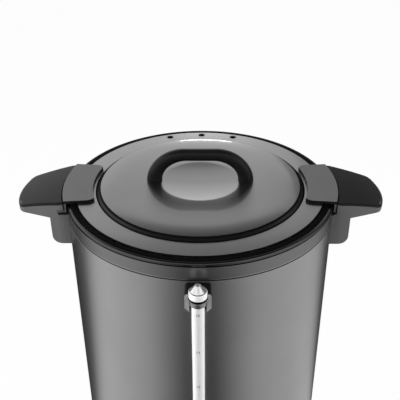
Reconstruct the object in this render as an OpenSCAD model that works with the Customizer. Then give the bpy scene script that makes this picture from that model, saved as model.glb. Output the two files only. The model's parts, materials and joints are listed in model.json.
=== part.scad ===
// Hot water urn with a double wall, a twist-lock lid, a sight gauge and a lever tap.
// Origin on the urn's axis at table height, +Z up, the tap and the gauge towards -Y.

/* [Body] */
// Outside diameter of the painted shell
body_d = 280; // [250:1:340]
// Height of the seam between shell and collar above the table
seam_z = 481; // [400:1:600]
// Thickness of the shell sheet
shell_t = 1; // [0.6:0.1:1.6]
// Thickness of the insulation sleeve
insulation_t = 17.4; // [12:0.2:22]
// Thickness of the tank sheet
tank_t = 1; // [0.6:0.1:1.6]
// Height of the tank floor above the table
tank_floor_z = 103; // [95:1:125]
// How far the insulation stops below the seam
insulation_drop = 27; // [26:1:60]
// Room between round parts that nest in each other
nest_gap = 0.3; // [0.2:0.05:0.5]
// Room between parts that move past each other
run_gap = 0.4; // [0.3:0.05:0.6]
// Radial room of a screw in its hole, or a shaft in its bearing
shaft_gap = 0.05; // [0.02:0.01:0.09]

/* [Collar] */
// Height of the collar above the seam
collar_h = 18.5; // [17:0.5:30]
// Width of the collar ring, and radius of its bead
collar_w = 2.8; // [2:0.1:4]
// Reach of the collar's and the skirt's neck into the shell
neck_h = 12; // [10:0.5:12.5]
// Depth of the tank rim below the top of the collar
rim_depth = 9.5; // [9:0.5:14]
// Width of the ledge that carries the tank rim
ledge_w = 6; // [4:0.5:10]
// Thickness of that ledge
ledge_t = 3; // [2:0.5:5]

/* [Lid] */
// Width of the rubber ring round the lid
seal_w = 5.7; // [4:0.1:8]
// Thickness of the ring's lip under the lid rim
seal_lip_t = 1.7; // [1:0.1:2.5]
// Width of that lip
seal_lip_w = 5; // [3:0.5:8]
// How far the ring lies below the lid flange
seal_sink = 0.8; // [0.5:0.1:1.5]
// How far the lid flange stands above the collar
flange_lift = 1.3; // [1:0.1:3]
// Thickness of the lid sheet
lid_t = 1; // [0.8:0.1:1.5]
// Width of the flat lid flange
flange_w = 21.4; // [19:0.2:26]
// Height of the step from the flange to the dome
dome_step = 3.7; // [3:0.1:8]
// Width of the sloping step
step_w = 4.8; // [2:0.2:8]
// Rise of the dome from its edge to its flat middle
crown_h = 1.5; // [0.2:0.1:3]
// Radius of the flat middle
crown_r = 62; // [60:1:75]
// Radius of the round recess in the middle
recess_r = 42; // [30:1:44]
// Depth of the recess
recess_depth = 3; // [2:0.5:6]
// Diameter of a steam vent
vent_d = 7.5; // [3:0.5:8]
// Distance of the vents from the lid's edge
vent_inset = 8; // [6:0.5:12]
// Angle between neighbouring vents
vent_step = 18; // [8:0.5:30]

/* [Lid handle] */
// Distance between the centres of its feet
arch_span = 96; // [94:1:110]
// Height of the bar's centre over the dome
arch_rise = 30.1; // [28:0.1:50]
// Thickness of the bar, and of the whole arch from front to back
arch_d = 12.6; // [10:0.1:14]
// Width of a foot
arch_foot_w = 16.3; // [14:0.1:18]
// Length of each bend along the bar
arch_bend = 33.5; // [20:0.5:38]
// Diameter of the lid's screws
lid_screw_d = 4; // [3:0.5:4.5]
// Reach of a screw into a leg
arch_screw_l = 14; // [8:1:20]

/* [Lid ears] */
// How much narrower an ear is than the grip beside it, at each end
ear_margin = 0.75; // [0.25:0.05:3]
// Thickness of an ear
ear_t = 3.2; // [3:0.1:6]
// Slant of an ear's ends, which draw together toward the middle of the lid
ear_taper = 6; // [0:0.5:8]
// Gap between the dome's step and an ear
ear_inset = 3; // [1:0.5:5]
// Radius of the ear's inner corners
ear_corner = 9; // [4:0.5:12]
// Room between the collar and the ear's skirt
ear_room = 1.5; // [1:0.1:4]
// Thickness of the ear's skirt
ear_skirt_t = 2; // [1.6:0.1:4]
// Height of the skirt, from the ear's top
ear_skirt_h = 12.6; // [10:0.1:14]
// Reach of the locking tongue
tongue_w = 6.6; // [3:0.2:7]
// Thickness of the tongue
tongue_t = 2; // [1.5:0.1:3]
// Room above and below the tongue in its slot
slot_room = 0.7; // [0.4:0.1:0.9]
// Angle of the tongue's inner end from the middle of the ear
tongue_a = 12; // [8:0.5:14]
// Gap between the tongue's outer end and the open side of the slot
tongue_short = 0.6; // [0.2:0.1:3]
// Gap between an ear and the grip beside it
ear_gap = 1.4; // [0.6:0.1:2]
// Angle of an ear's screws from its middle
ear_screw_a = 9; // [5:0.5:13]
// Reach of an ear's screws into the ear
ear_screw_l = 2.4; // [2:0.1:2.6]

/* [Side handles] */
// Reach of a grip beyond the shell
grip_reach = 52.5; // [44:0.5:70]
// Width of a grip at its root
grip_root_w = 84.5; // [84:0.5:100]
// Width of a grip where its sides would meet the tip
grip_tip_w = 61; // [50:1:80]
// Corner radius of the tip
grip_corner = 8; // [4:0.5:14]
// Radius of the bowed edge of the tip
grip_tip_r = 68; // [50:1:120]
// How far the grip's top lies below the ear beside it
grip_sink = 1.2; // [0:0.1:2]
// Slope of the grip's top beside the ear
grip_slope = 8; // [4:0.1:10]
// Radius of the grip's crowned top
grip_crown_r = 330; // [200:10:400]
// Thickness of the grip at its tip
grip_tip_t = 4.5; // [4:0.1:9]
// Thickness of the grip at its root
grip_root_t = 20; // [17:0.5:26]
// Reach of the bracket beyond the shell
bracket_reach = 13.5; // [12.5:0.5:20]
// Depth of the bracket below the seam
bracket_drop = 27; // [24:1:60]
// Radius of the bracket's lower edge
bracket_corner = 8; // [4:0.5:12]
// Diameter of the handle screws
handle_screw_d = 5; // [4:0.5:6]
// Length of a handle screw outside the shell
handle_screw_l = 9; // [6:1:10]
// Angle of the handle screws from the middle
handle_screw_a = 11; // [7:0.5:13]
// Depth of the upper handle screws below the seam
upper_screw_drop = 6; // [5:0.5:7]
// Depth of the lower handle screws below the seam
lower_screw_drop = 17.5; // [17:0.5:19.5]

/* [Sight gauge] */
// Distance of the tube's axis from the shell
gauge_stand = 15.5; // [15:0.5:24]
// Outside diameter of the glass tube
tube_d = 12; // [10:0.5:14]
// Bore of the glass tube
tube_bore = 8; // [6:0.5:9]
// Diameter of the bright cap
cap_d = 16.6; // [15:0.2:19]
// How far the cap's lower edge lies below the seam
cap_drop = 5.8; // [3:0.1:6]
// Height of the cap's straight part
cap_h = 7; // [6.5:0.5:10]
// Height of the cap's cone
cap_cone_h = 6; // [4:0.5:10]
// Diameter of the cone's tip
cap_tip_d = 5; // [4:0.5:8]
// Diameter of the vent in the tip
cap_vent_d = 2; // [1:0.5:3]
// Depth of the tube in the cap
cap_grip = 5; // [4:0.5:6]
// Height of the rubber ring under the cap
cap_seal_h = 3; // [2:0.5:5]
// Diameter of the ferrule under that ring
ferrule_d = 15.4; // [13.5:0.1:16]
// Height of the ferrule
ferrule_h = 5; // [3:0.5:8]
// Width of the cradle that holds the ferrule
clip_w = 24; // [23:0.5:30]
// Height of the cradle
clip_h = 20.5; // [12:0.5:24]
// Distance of the cradle's top below the seam
clip_gap = 2.5; // [1:0.5:3]
// Radius of the cradle's upper corners
clip_corner = 3; // [1:0.5:4]
// Size of the slanted cut at the cradle's lower corners
clip_cut = 4.5; // [1:0.5:6]
// How far the cradle's cheeks reach past the tube's axis
clip_wrap = 0.5; // [0:0.5:4]
// Diameter of the cradle's screws
clip_screw_d = 3; // [2.5:0.5:3.5]
// Length of a cradle screw outside the collar
clip_screw_l = 7; // [5:0.5:8]
// Distance of the cradle's screws from the middle
clip_screw_x = 9; // [8.5:0.5:11]
// Depth of the cradle's screws below the seam
clip_screw_drop = 7; // [6:0.5:9]

/* [Tap] */
// Height of the tap's axis over the tank floor
tap_rise = 24; // [20:1:40]
// Distance from the gauge's axis to the valve's axis
tap_pitch = 33; // [33:0.5:45]
// Diameter of the threaded shank
shank_d = 20; // [16:0.5:22]
// Diameter of the water passage
tap_bore = 12; // [8:0.5:13]
// Diameter of the tap's flange and washers
tap_flange_d = 34; // [30:1:36]
// Thickness of the flange
tap_flange_t = 4; // [3:0.5:6]
// Thickness of the washers at the tap's axis
tap_washer_t = 4; // [3:0.5:6]
// Width of the tap nut across flats
tap_nut_w = 30; // [26:1:34]
// Thickness of the tap nut
tap_nut_t = 8; // [6:0.5:12]
// Length of shank that stands out of the nut
shank_spare = 2; // [0:0.5:4]
// Diameter of the neck between flange and valve
tap_neck_d = 22; // [16:0.5:24]
// Diameter of the valve chamber
chamber_d = 30; // [28:0.5:32]
// Wall of the valve chamber
chamber_wall = 4; // [3:0.5:5]
// Depth of the valve seat below the tap's axis
seat_drop = 15; // [13:0.5:20]
// Height of the chamber over the tap's axis
chamber_rise = 23; // [20:0.5:30]
// Outside diameter of the spout
spout_d = 18; // [17:0.5:22]
// Length of the spout below the chamber
spout_l = 14; // [10:0.5:20]
// Diameter of the bonnet
bonnet_d = 36; // [36:0.5:37]
// Height of the bonnet above the chamber
bonnet_h = 8; // [5:0.5:12]
// Overlap of the bonnet on the chamber
bonnet_lap = 10; // [6:0.5:12]
// Diameter of the valve stem
stem_d = 6; // [5:0.5:7]
// Diameter of the rubber seat cup
cup_d = 18; // [15:0.5:20]
// Height of the seat cup
cup_h = 8; // [6:0.5:10]
// Depth of the stem in the cup
cup_grip = 6; // [4:0.5:6]
// Mean diameter of the valve spring
spring_d = 11; // [9.5:0.5:14]
// Diameter of the spring wire
spring_wire = 1.2; // [0.8:0.1:1.4]
// Turns of the spring
spring_turns = 6; // [4:1:8]
// Diameter of the socket for the gauge tube
socket_d = 20; // [18:0.5:21]
// Height of the socket over the tap's axis
socket_rise = 29; // [27:0.5:40]
// Depth of the tube in the socket
socket_grip = 13; // [10:0.5:15]
// Thickness of the rubber ring on the socket
gauge_seal_h = 3; // [2:0.5:5]
// Width of the gauge nut across flats
gauge_nut_w = 25; // [24:0.5:26]
// Overlap of the gauge nut on the socket
gauge_nut_lap = 7; // [5:0.5:8]
// Thickness of the gauge nut's top
gauge_nut_top = 3; // [2:0.5:5]

/* [Tap lever] */
// Radius of the cam at the lever's foot
cam_r = 9; // [8:0.5:12]
// Offset of the cam from the pin
cam_offset = 5.5; // [4:0.1:5.6]
// Width of the lever's foot
lever_w = 18; // [14:0.5:22]
// Width of the lever's paddle
paddle_w = 24; // [18:0.5:30]
// Length of the lever above the pin
lever_l = 48; // [40:1:70]
// Thickness of the lever's paddle
paddle_t = 11; // [8:0.5:14]
// Diameter of the lever pin
pin_d = 3; // [2.5:0.5:3.5]
// Length of the pin on either side of the lever
pin_spare = 1; // [0.5:0.5:2]
// Height of the stem above the pin
stem_eye = 5; // [4:0.5:5.5]
// Room in the lever above the stem
lever_slot_room = 2; // [1:0.5:4]

/* [Base] */
// Height of the feet
foot_h = 12; // [8:0.5:20]
// Diameter of a foot
foot_d = 26; // [20:1:34]
// How much narrower a foot is at the table
foot_taper = 4; // [0:0.5:6]
// Distance of the feet from the shell's outside
foot_inset = 22; // [18:1:40]
// Diameter of the well for a foot screw
foot_well_d = 11; // [10:0.5:13]
// Depth of that well
foot_well_h = 6; // [5:0.5:7]
// Diameter of the foot screws
foot_screw_d = 4.5; // [4:0.5:5]
// Length of a foot screw
foot_screw_l = 24; // [16:1:34]
// Diameter of the bosses for the foot screws
boss_d = 14; // [10:1:18]
// Height of the bosses
boss_h = 26; // [24:1:40]
// Thickness of the base pan
pan_t = 3; // [2:0.5:5]
// Thickness of the skirt
skirt_t = 3; // [2.5:0.5:4]
// Height of the skirt's top above the table
skirt_top = 90; // [88:1:94]
// Thickness of the skirt's neck
skirt_neck_t = 3; // [2:0.5:4]
// Overlap of the skirt and its neck
neck_root = 6; // [4:0.5:8]
// Diameter of the screws that hold the shell on the skirt
shell_screw_d = 4; // [3:0.5:5]
// Angle of those screws to either side of the handles
shell_screw_a = 20; // [10:1:60]
// Width of the terminal block's poles
pole_w = 12; // [10:0.5:14]
// Length of the terminal block
terminal_l = 20; // [16:0.5:24]
// Height of the terminal block
terminal_h = 16; // [12:0.5:20]
// Distance of the terminal block from the urn's axis
terminal_y = 60; // [40:1:70]

/* [Controls] */
// Width of the control panel
panel_w = 130; // [125:1:150]
// Height of the control panel
panel_h = 62; // [56:1:64]
// Height of its lower edge above the table
panel_z = 20; // [16:1:24]
// How far the panel stands out from the skirt
panel_proud = 8; // [7.5:0.5:16]
// Wall of the panel
panel_t = 3; // [2:0.5:4]
// Distance of the panel's posts from the middle
post_x = 53; // [52:0.5:56]
// Distance of the posts from the panel's upper and lower edge
post_inset = 8; // [7.5:0.5:10]
// Diameter of a post
post_d = 8; // [7:0.5:9]
// Width of the opening behind the panel
hatch_w = 88; // [70:1:92]
// Height of that opening
hatch_h = 46; // [40:1:50]
// Diameter of the thermostat knob
knob_d = 34; // [26:1:44]
// Height of the knob
knob_h = 17; // [14:0.5:24]
// Diameter of the knob's foot ring
knob_ring_d = 42; // [40:1:50]
// Thickness of the foot ring
knob_ring_t = 3; // [2:0.5:5]
// Thickness of the knob in front of its shaft
knob_roof = 4; // [3:0.5:6]
// Diameter of the thermostat's shaft
dial_shaft_d = 6; // [4:0.5:8]
// Radial room of the shaft in the panel
dial_room = 0.5; // [0.3:0.1:1]
// Height of the shaft's flat over its axis, as a share of its diameter
dial_flat = 0.3; // [0.25:0.05:0.45]
// Width of the thermostat
thermostat_w = 36; // [30:1:44]
// Depth of the thermostat
thermostat_l = 24; // [18:1:30]
// Distance of switch and lamps from the middle
side_x = 40; // [39:0.5:41]
// Width of the switch body
switch_w = 16; // [14:0.5:17]
// Height of the switch body
switch_h = 27; // [24:0.5:30]
// Depth of the switch body
switch_l = 12; // [11:0.5:13]
// Margin of the switch's bezel round its body
bezel = 2.2; // [1:0.1:3]
// Thickness of the bezel
bezel_t = 2; // [1:0.5:3]
// Wall of the switch body beside the rocker
switch_wall = 2; // [1.5:0.1:3]
// Angle of the rocker to either side of level
rocker_a = 8; // [5:0.5:10]
// How far the rocker's pivot lies behind the panel's face
rocker_sink = 2.5; // [2:0.5:4]
// Height of the rocker's ends in front of its pivot
rocker_end = 6; // [5:0.5:7]
// Height of the rocker's middle in front of its pivot
rocker_mid = 3.5; // [3:0.5:5]
// Depth of the rocker behind its pivot
rocker_back = 4; // [3:0.5:5]
// Diameter of the rocker's pivot
rocker_pin_d = 3; // [2:0.5:3]
// Diameter of a lamp's body
lamp_d = 9; // [7:0.5:11]
// Diameter of a lamp's lens
lens_d = 12; // [11.5:0.5:14]
// Height of a lamp's lens
lens_h = 5; // [4:0.5:6]
// Distance between the lamps
lamp_pitch = 22; // [16:1:30]
// Diameter of the panel's screws
panel_screw_d = 3; // [2.5:0.5:3]

/* [Mains inlet] */
// Height of the inlet's middle above the table
inlet_z = 46; // [40:1:60]
// Depth of the inlet's flat below the skirt's outside
inlet_sink = 6; // [5.5:0.5:9]
// Width of the inlet's flange
inlet_w = 50; // [48:0.5:52]
// Height of the flange
inlet_h = 24; // [22:0.5:28]
// Thickness of the flange
inlet_t = 3; // [2:0.5:4]
// Distance between the inlet's screws
inlet_pitch = 40; // [38:0.5:42]
// Width of the inlet's socket
socket_w = 24; // [22:0.5:26]
// Height of the inlet's socket
socket_h = 16.5; // [14:0.5:18]
// Depth of the inlet's socket
socket_depth = 17; // [15:0.5:20]
// Wall of the inlet's body
inlet_wall = 2; // [1:0.1:2.5]
// Diameter of the inlet's screws
inlet_screw_d = 3; // [2.5:0.5:3.5]
// Reach of the inlet's screws into the skirt
inlet_screw_l = 6; // [4:0.5:7]
// Thickness of the pad behind the inlet's flange
pad_t = 8; // [7.5:0.5:12]
// Margin of that pad round the flange
pad_margin = 7; // [5:0.5:9]
// Margin of the flat round the flange
flat_margin = 2; // [1:0.5:3]
// Thickness of an inlet pin
blade_t = 2; // [1.5:0.1:2.5]
// Width of an inlet pin
blade_w = 4; // [3:0.1:5]
// Pitch of the two outer pins
pin_pitch = 14; // [12:0.5:15]
// Height of the middle pin over the others
pin_lift = 4; // [2:0.5:6]

/* [Heater] */
// Radius of the heater plate
plate_r = 92; // [80:1:105]
// Thickness of the heater plate
plate_t = 8; // [5:0.5:10]
// Radius of the heating element's ring
element_r = 58; // [40:1:60]
// Diameter of the heating element
element_d = 8; // [6:0.5:9]
// Angle between the element's two ends
element_gap_a = 50; // [30:1:80]
// Length of the element's tails
tail_l = 16; // [10:1:24]
// Wall of the sleeve on each tail
tail_wall = 1; // [0.5:0.1:2]
// Diameter of the boil-dry cutout
cutout_d = 24; // [18:1:34]
// Height of the cutout
cutout_h = 10; // [8:0.5:14]
// Length of the cutout's pin
cutout_pin_l = 3; // [2:0.5:5]
// Diameter of that pin
cutout_pin_d = 5; // [3:0.5:7]
// Travel of the reset button
reset_travel = 2; // [1:0.5:4]
// Diameter of the reset button's rod
reset_d = 6; // [4:0.5:8]
// Thickness of the reset button's cap and stop ring
reset_cap_t = 3; // [2:0.5:4]
// Height of the rod's guide above the pan
guide_h = 12; // [8:0.5:20]
// Diameter of the thermostat's bulb
bulb_d = 6; // [4:0.5:8]
// Distance of the bulb from the heater plate's edge
bulb_inset = 4; // [2:0.5:8]
// Distance of the capillary from the middle
capillary_x = 8; // [4:0.5:12]
// Length of the bulb
bulb_l = 20; // [14:1:24]
// Diameter of the capillary
capillary_d = 2; // [1.5:0.1:3]

/* [Hidden] */
$fn = 96;
past = 1;
wire_sides = 6;
turn_steps = 16;
arch_sides = 24;
bend_steps = 12;
crown_steps = 6;

// Radii of the double wall, from the outside in
body_r = body_d / 2;
shell_in_r = body_r - shell_t;
insulation_out_r = shell_in_r - nest_gap;
insulation_in_r = insulation_out_r - insulation_t;
tank_out_r = insulation_in_r - nest_gap;
tank_r = tank_out_r - tank_t;
neck_r = shell_in_r - nest_gap;

// Collar, tank rim and rubber ring
collar_in_r = body_r - collar_w;
collar_top = seam_z + collar_h;
rim_z = collar_top - rim_depth;
rim_r = collar_in_r - nest_gap;
seal_low = rim_z + tank_t + nest_gap;
seal_in_r = rim_r - seal_w;

// Lid
flange_z = collar_top + flange_lift;
lid_r = seal_in_r - nest_gap;
lid_low = seal_low + seal_lip_t + nest_gap;
step_r = lid_r - flange_w;
dome_r = step_r - step_w;
dome_edge_z = flange_z + dome_step;
dome_z = dome_edge_z + crown_h;
dish_r = (recess_r * recess_r + recess_depth * recess_depth) / (2 * recess_depth);
vent_r = lid_r - vent_inset;

// Ears, and the slots in the side handles
ear_w = grip_root_w - 2 * ear_margin;
ear_in_r = step_r + ear_inset;
ear_out_r = body_r + ear_room + ear_skirt_t;
ear_z = flange_z + ear_t;
ear_screw_r = (ear_in_r + lid_r) / 2;
tongue_z = ear_z - ear_skirt_h;
slot_z = tongue_z - slot_room;
slot_r = ear_out_r + tongue_w + run_gap;
slot_a = 60;
slot_end_gap_a = 0.6;
tongue_open_a = asin((ear_w / 2 - tongue_short) / ear_out_r);

// Room under a screw head on a curved wall
head_room = 0.15;
// Length of a hole drilled through the walls
wall_hole_l = 16;

// Side handles
grip_x = body_r + grip_reach;
bracket_x = body_r + bracket_reach;
bracket_low = seam_z - bracket_drop;
grip_low_z = ear_z - grip_root_t;
grip_crown_x = ear_out_r - grip_crown_r * sin(grip_slope);
grip_crown_z = ear_z - grip_sink - grip_crown_r * cos(grip_slope);
grip_side_a = atan2((grip_root_w - grip_tip_w) / 2, grip_x - ear_out_r);
grip_mid_x = grip_x - grip_tip_r;
grip_side_run = [cos(grip_side_a), -sin(grip_side_a)];
grip_side_out = [sin(grip_side_a), cos(grip_side_a)];
// Middle of a corner's arc, from the middle of the tip's arc
grip_corner_from = [ear_out_r - grip_mid_x, grip_root_w / 2] - grip_corner * grip_side_out;
grip_corner_foot = grip_corner_from * grip_side_run;
grip_corner_run = sqrt(pow(grip_corner_foot, 2) - grip_corner_from * grip_corner_from
    + pow(grip_tip_r - grip_corner, 2)) - grip_corner_foot;
grip_corner_at = grip_corner_from + grip_corner_run * grip_side_run;
// Small step by which a corner's arc crosses the edges that it joins
arc_cross = 0.02;

// Height of a grip's crowned top at a distance from the urn's axis
function grip_top(r) = grip_crown_z + sqrt(pow(grip_crown_r, 2) - pow(r - grip_crown_x, 2));

// Screw heads
function head_d(d) = 1.8 * d;
function head_h(d) = 0.6 * d;

// Sight gauge
gauge_y = -(body_r + gauge_stand);
cap_z = seam_z - cap_drop;
ferrule_top = cap_z - cap_seal_h;
ferrule_z = ferrule_top - ferrule_h;
tube_top = cap_z + cap_grip;

// Tap
tap_z = tank_floor_z + tap_rise;
valve_y = gauge_y - tap_pitch;
hole_d = shank_d + 4 * nest_gap;
tap_flange_y = -(body_r + tap_washer_t);
inner_washer_y = -(tank_r - tap_washer_t);
tap_nut_y = inner_washer_y + tap_nut_t;
shank_end_y = tap_nut_y + shank_spare;
seat_z = tap_z - seat_drop;
chamber_top = tap_z + chamber_rise;
chamber_bore = chamber_d - 2 * chamber_wall;
bonnet_top = chamber_top + bonnet_h;
cup_z = seat_z + nest_gap;
pin_z = bonnet_top + cam_r + nest_gap;
stem_top = pin_z + stem_eye;
stem_low = cup_z + cup_h - cup_grip;
socket_top = tap_z + socket_rise;
tube_low = socket_top - socket_grip;
lever_slot_r = stem_eye + lever_slot_room;

// Base and controls
foot_ring_r = body_r - foot_inset;
skirt_in_r = body_r - skirt_t;
pan_top = foot_h + pan_t;
neck_top = skirt_top + neck_h;
shell_screw_z = skirt_top + neck_h / 2;
panel_mid = panel_z + panel_h / 2;
panel_face = -(body_r + panel_proud);
panel_back = panel_face + panel_t;
post_zs = [panel_z + post_inset, panel_z + panel_h - post_inset];
panel_screw_y = -sqrt(pow(skirt_in_r, 2) - pow(post_x + head_d(panel_screw_d) / 2, 2)) + shaft_gap;
rocker_y = panel_face + rocker_sink;
rocker_r = switch_h / 2 - switch_wall;
inlet_face = body_r - inlet_sink;
inlet_front = inlet_face + inlet_t;
inlet_floor = inlet_front - socket_depth;
plate_low = tank_floor_z - tank_t - plate_t;
element_z = plate_low - element_d / 2 - shaft_gap;
cutout_low = plate_low - cutout_h;
reset_low = foot_h - reset_travel - run_gap - reset_cap_t;
reset_top = cutout_low - cutout_pin_l - reset_travel - run_gap;
shaft_end_y = panel_back + thermostat_l - dial_shaft_d;
capillary_y = panel_back + thermostat_l / 2;
shaft_front_y = panel_face - run_gap - knob_h + knob_roof;
switch_back = panel_face + switch_l;
bulb_z = plate_low - bulb_d / 2 - shaft_gap;

// Shapes that repeat
module ring(r_out, r_in, h) {
    difference() {
        cylinder(r = r_out, h = h);
        translate([0, 0, -past]) cylinder(r = r_in, h = h + 2 * past);
    }
}

// A screw that points along +Z, its head under z = 0
module screw(d, l) {
    translate([0, 0, -head_h(d)]) cylinder(d = head_d(d), h = head_h(d));
    translate([0, 0, -head_h(d)]) cylinder(d = d, h = l + head_h(d));
}

// Places children on a wall, with +Z pointing outward
module on_wall(a, r, z) {
    rotate([0, 0, a]) translate([r, 0, z]) rotate([0, 90, 0]) children();
}

// Faces of a tube through rings of points, closed at both ends
function tube_faces(sides, last) = let (end = last * sides) concat(
    [
        for (i = [0 : last - 1], k = [0 : sides - 1])
            let (a = i * sides + k, b = i * sides + (k + 1) % sides)
                each [[a, a + sides, b], [b, a + sides, b + sides]]
    ],
    [for (k = [1 : sides - 2]) [0, k, k + 1]],
    [for (k = [1 : sides - 2]) [end, end + k + 1, end + k]]
);

// A rod along the y axis from y0 to y1
module rod_y(x, z, d, y0, y1) {
    translate([x, max(y0, y1), z]) rotate([90, 0, 0]) cylinder(d = d, h = abs(y1 - y0));
}

// A box with its middle at x, between two y values, with its middle at z
module box_y(x, z, w, h, y0, y1) {
    translate([x - w / 2, min(y0, y1), z - h / 2]) cube([w, abs(y1 - y0), h]);
}

// Base
module foot_places() {
    for (a = [45 : 90 : 315]) rotate([0, 0, a]) translate([foot_ring_r, 0, 0]) children();
}

module feet() {
    color("dimgray") foot_places() difference() {
        cylinder(d1 = foot_d - foot_taper, d2 = foot_d, h = foot_h);
        translate([0, 0, -past]) cylinder(d = foot_well_d, h = foot_well_h + past);
        cylinder(d = foot_screw_d + 2 * shaft_gap, h = foot_h + past);
    }
}

module foot_screws() {
    color("silver") foot_places() translate([0, 0, foot_well_h]) screw(foot_screw_d, foot_screw_l);
}

module base_pan() {
    color("gray") difference() {
        union() {
            translate([0, 0, foot_h]) cylinder(r = skirt_in_r - nest_gap, h = pan_t);
            translate([0, 0, foot_h]) cylinder(d = 2 * reset_d, h = pan_t + guide_h);
        }
        foot_places() cylinder(d = foot_screw_d + 2 * shaft_gap, h = pan_top + past);
        cylinder(d = reset_d + 2 * shaft_gap, h = pan_top + guide_h + past);
    }
}

module skirt_bosses() {
    rib = boss_d / 3;
    foot_places() translate([0, 0, pan_top]) {
        cylinder(d = boss_d, h = boss_h);
        translate([0, -rib / 2, 0]) cube([foot_inset - skirt_t / 2, rib, boss_h]);
    }
}

module inlet_pad() {
    intersection() {
        box_y(0, inlet_z, inlet_w + 2 * pad_margin, inlet_h + 2 * pad_margin, inlet_face - pad_t, body_r);
        cylinder(r = body_r - skirt_t / 2, h = skirt_top);
    }
}

module base_skirt() {
    color([0.1, 0.1, 0.1]) difference() {
        union() {
            translate([0, 0, foot_h]) ring(body_r, skirt_in_r, skirt_top - foot_h);
            translate([0, 0, skirt_top - neck_root]) ring(neck_r, neck_r - skirt_neck_t, neck_h + neck_root);
            skirt_bosses();
            inlet_pad();
        }
        foot_places() cylinder(d = foot_screw_d + 2 * shaft_gap, h = foot_well_h + foot_screw_l + past);
        shell_screw_places() cylinder(d = shell_screw_d + 2 * shaft_gap, h = wall_hole_l, center = true);
        box_y(0, panel_mid, hatch_w, hatch_h, -body_r - past, -foot_ring_r);
        for (x = [-post_x, post_x], z = post_zs)
            rod_y(x, z, panel_screw_d + 2 * shaft_gap, -body_r, -foot_ring_r);
        box_y(0, inlet_z, inlet_w + 2 * flat_margin, inlet_h + 2 * flat_margin, inlet_face, body_r + past);
        box_y(0, inlet_z, socket_w + 2 * (inlet_wall + nest_gap), socket_h + 2 * (inlet_wall + nest_gap),
              inlet_face - pad_t - past, inlet_face + past);
        for (x = [-inlet_pitch / 2, inlet_pitch / 2])
            rod_y(x, inlet_z, inlet_screw_d + 2 * shaft_gap, inlet_face - pad_t - past, inlet_face + past);
    }
}

module shell_screw_places() {
    for (side = [0, 180], a = [-shell_screw_a, shell_screw_a])
        on_wall(side + a, body_r, shell_screw_z) children();
}

module shell_screws() {
    l = shell_t + skirt_neck_t + past;
    color("silver") shell_screw_places() rotate([180, 0, 0]) screw(shell_screw_d, l);
}

// Double wall
module handle_screw_places() {
    for (side = [0, 180], a = [-handle_screw_a, handle_screw_a]) {
        on_wall(side + a, collar_in_r, seam_z - upper_screw_drop) children();
        on_wall(side + a, shell_in_r, seam_z - lower_screw_drop) children();
    }
}

module clip_screw_places() {
    turn = asin(clip_screw_x / body_r);
    for (a = [-turn, turn]) on_wall(a - 90, collar_in_r, seam_z - clip_screw_drop) children();
}

module outer_shell() {
    color([0.25, 0.25, 0.27]) difference() {
        translate([0, 0, skirt_top]) ring(body_r, shell_in_r, seam_z - skirt_top);
        handle_screw_places() cylinder(d = handle_screw_d + 2 * shaft_gap, h = wall_hole_l, center = true);
        clip_screw_places() cylinder(d = clip_screw_d + 2 * shaft_gap, h = wall_hole_l, center = true);
        shell_screw_places() cylinder(d = shell_screw_d + 2 * shaft_gap, h = wall_hole_l, center = true);
        rod_y(0, tap_z, hole_d, -body_r - past, 0);
    }
}

module insulation() {
    low = max(neck_top, tank_floor_z) + past;
    color("khaki") difference() {
        translate([0, 0, low]) ring(insulation_out_r, insulation_in_r, seam_z - insulation_drop - low);
        rod_y(0, tap_z, hole_d, -body_r - past, 0);
    }
}

module inner_tank() {
    floor_z = tank_floor_z - tank_t;
    color("lightsteelblue") difference() {
        rotate_extrude() polygon([
            [0, floor_z], [tank_out_r, floor_z], [tank_out_r, rim_z], [rim_r, rim_z], [rim_r, rim_z + tank_t],
            [tank_r, rim_z + tank_t], [tank_r, tank_floor_z], [0, tank_floor_z]
        ]);
        rod_y(0, tap_z, hole_d, -body_r, 0);
    }
}

module top_collar() {
    color([0.25, 0.25, 0.27]) difference() {
        rotate_extrude() {
            polygon([
                [collar_in_r, seam_z - neck_h], [neck_r, seam_z - neck_h], [neck_r, seam_z], [body_r, seam_z],
                [body_r, collar_top - collar_w], [collar_in_r, collar_top - collar_w]
            ]);
            polygon([
                [collar_in_r + collar_w / 2, rim_z], [rim_r - ledge_w, rim_z],
                [rim_r - ledge_w, rim_z - ledge_t], [collar_in_r + collar_w / 2, rim_z - ledge_t]
            ]);
            translate([collar_in_r, collar_top - collar_w]) intersection() {
                circle(r = collar_w);
                square(collar_w);
            }
        }
        handle_screw_places() cylinder(d = handle_screw_d + 2 * shaft_gap, h = wall_hole_l, center = true);
        clip_screw_places() cylinder(d = clip_screw_d + 2 * shaft_gap, h = wall_hole_l, center = true);
    }
}

// Heater
module heater_plate() {
    color("lightgray") translate([0, 0, plate_low]) cylinder(r = plate_r, h = plate_t);
}

module heating_element() {
    end_a = element_gap_a / 2;
    color("slategray") {
        translate([0, 0, element_z]) rotate([0, 0, 90 + end_a]) rotate_extrude(angle = 360 - element_gap_a)
            translate([element_r, 0]) circle(d = element_d);
        for (a = [90 - end_a, 90 + end_a]) rotate([0, 0, a]) translate([element_r, 0, element_z]) {
            translate([0, 0, -tail_l]) cylinder(d = element_d + 2 * tail_wall, h = tail_l + element_d / 2);
            translate([0, 0, -1.5 * tail_l]) cylinder(d = element_d / 2, h = tail_l);
        }
    }
}

module thermal_cutout() {
    color("ivory") {
        translate([0, 0, cutout_low]) cylinder(d = cutout_d, h = cutout_h);
        translate([0, 0, cutout_low - cutout_pin_l]) cylinder(d = cutout_pin_d, h = cutout_pin_l + past);
    }
}

module reset_button() {
    color("firebrick") {
        translate([0, 0, reset_low]) cylinder(d = reset_d, h = reset_top - reset_low);
        translate([0, 0, reset_low]) cylinder(d = 2 * reset_d, h = reset_cap_t);
        translate([0, 0, pan_top + guide_h + nest_gap]) cylinder(d = 1.7 * reset_d, h = reset_cap_t);
    }
}

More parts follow.
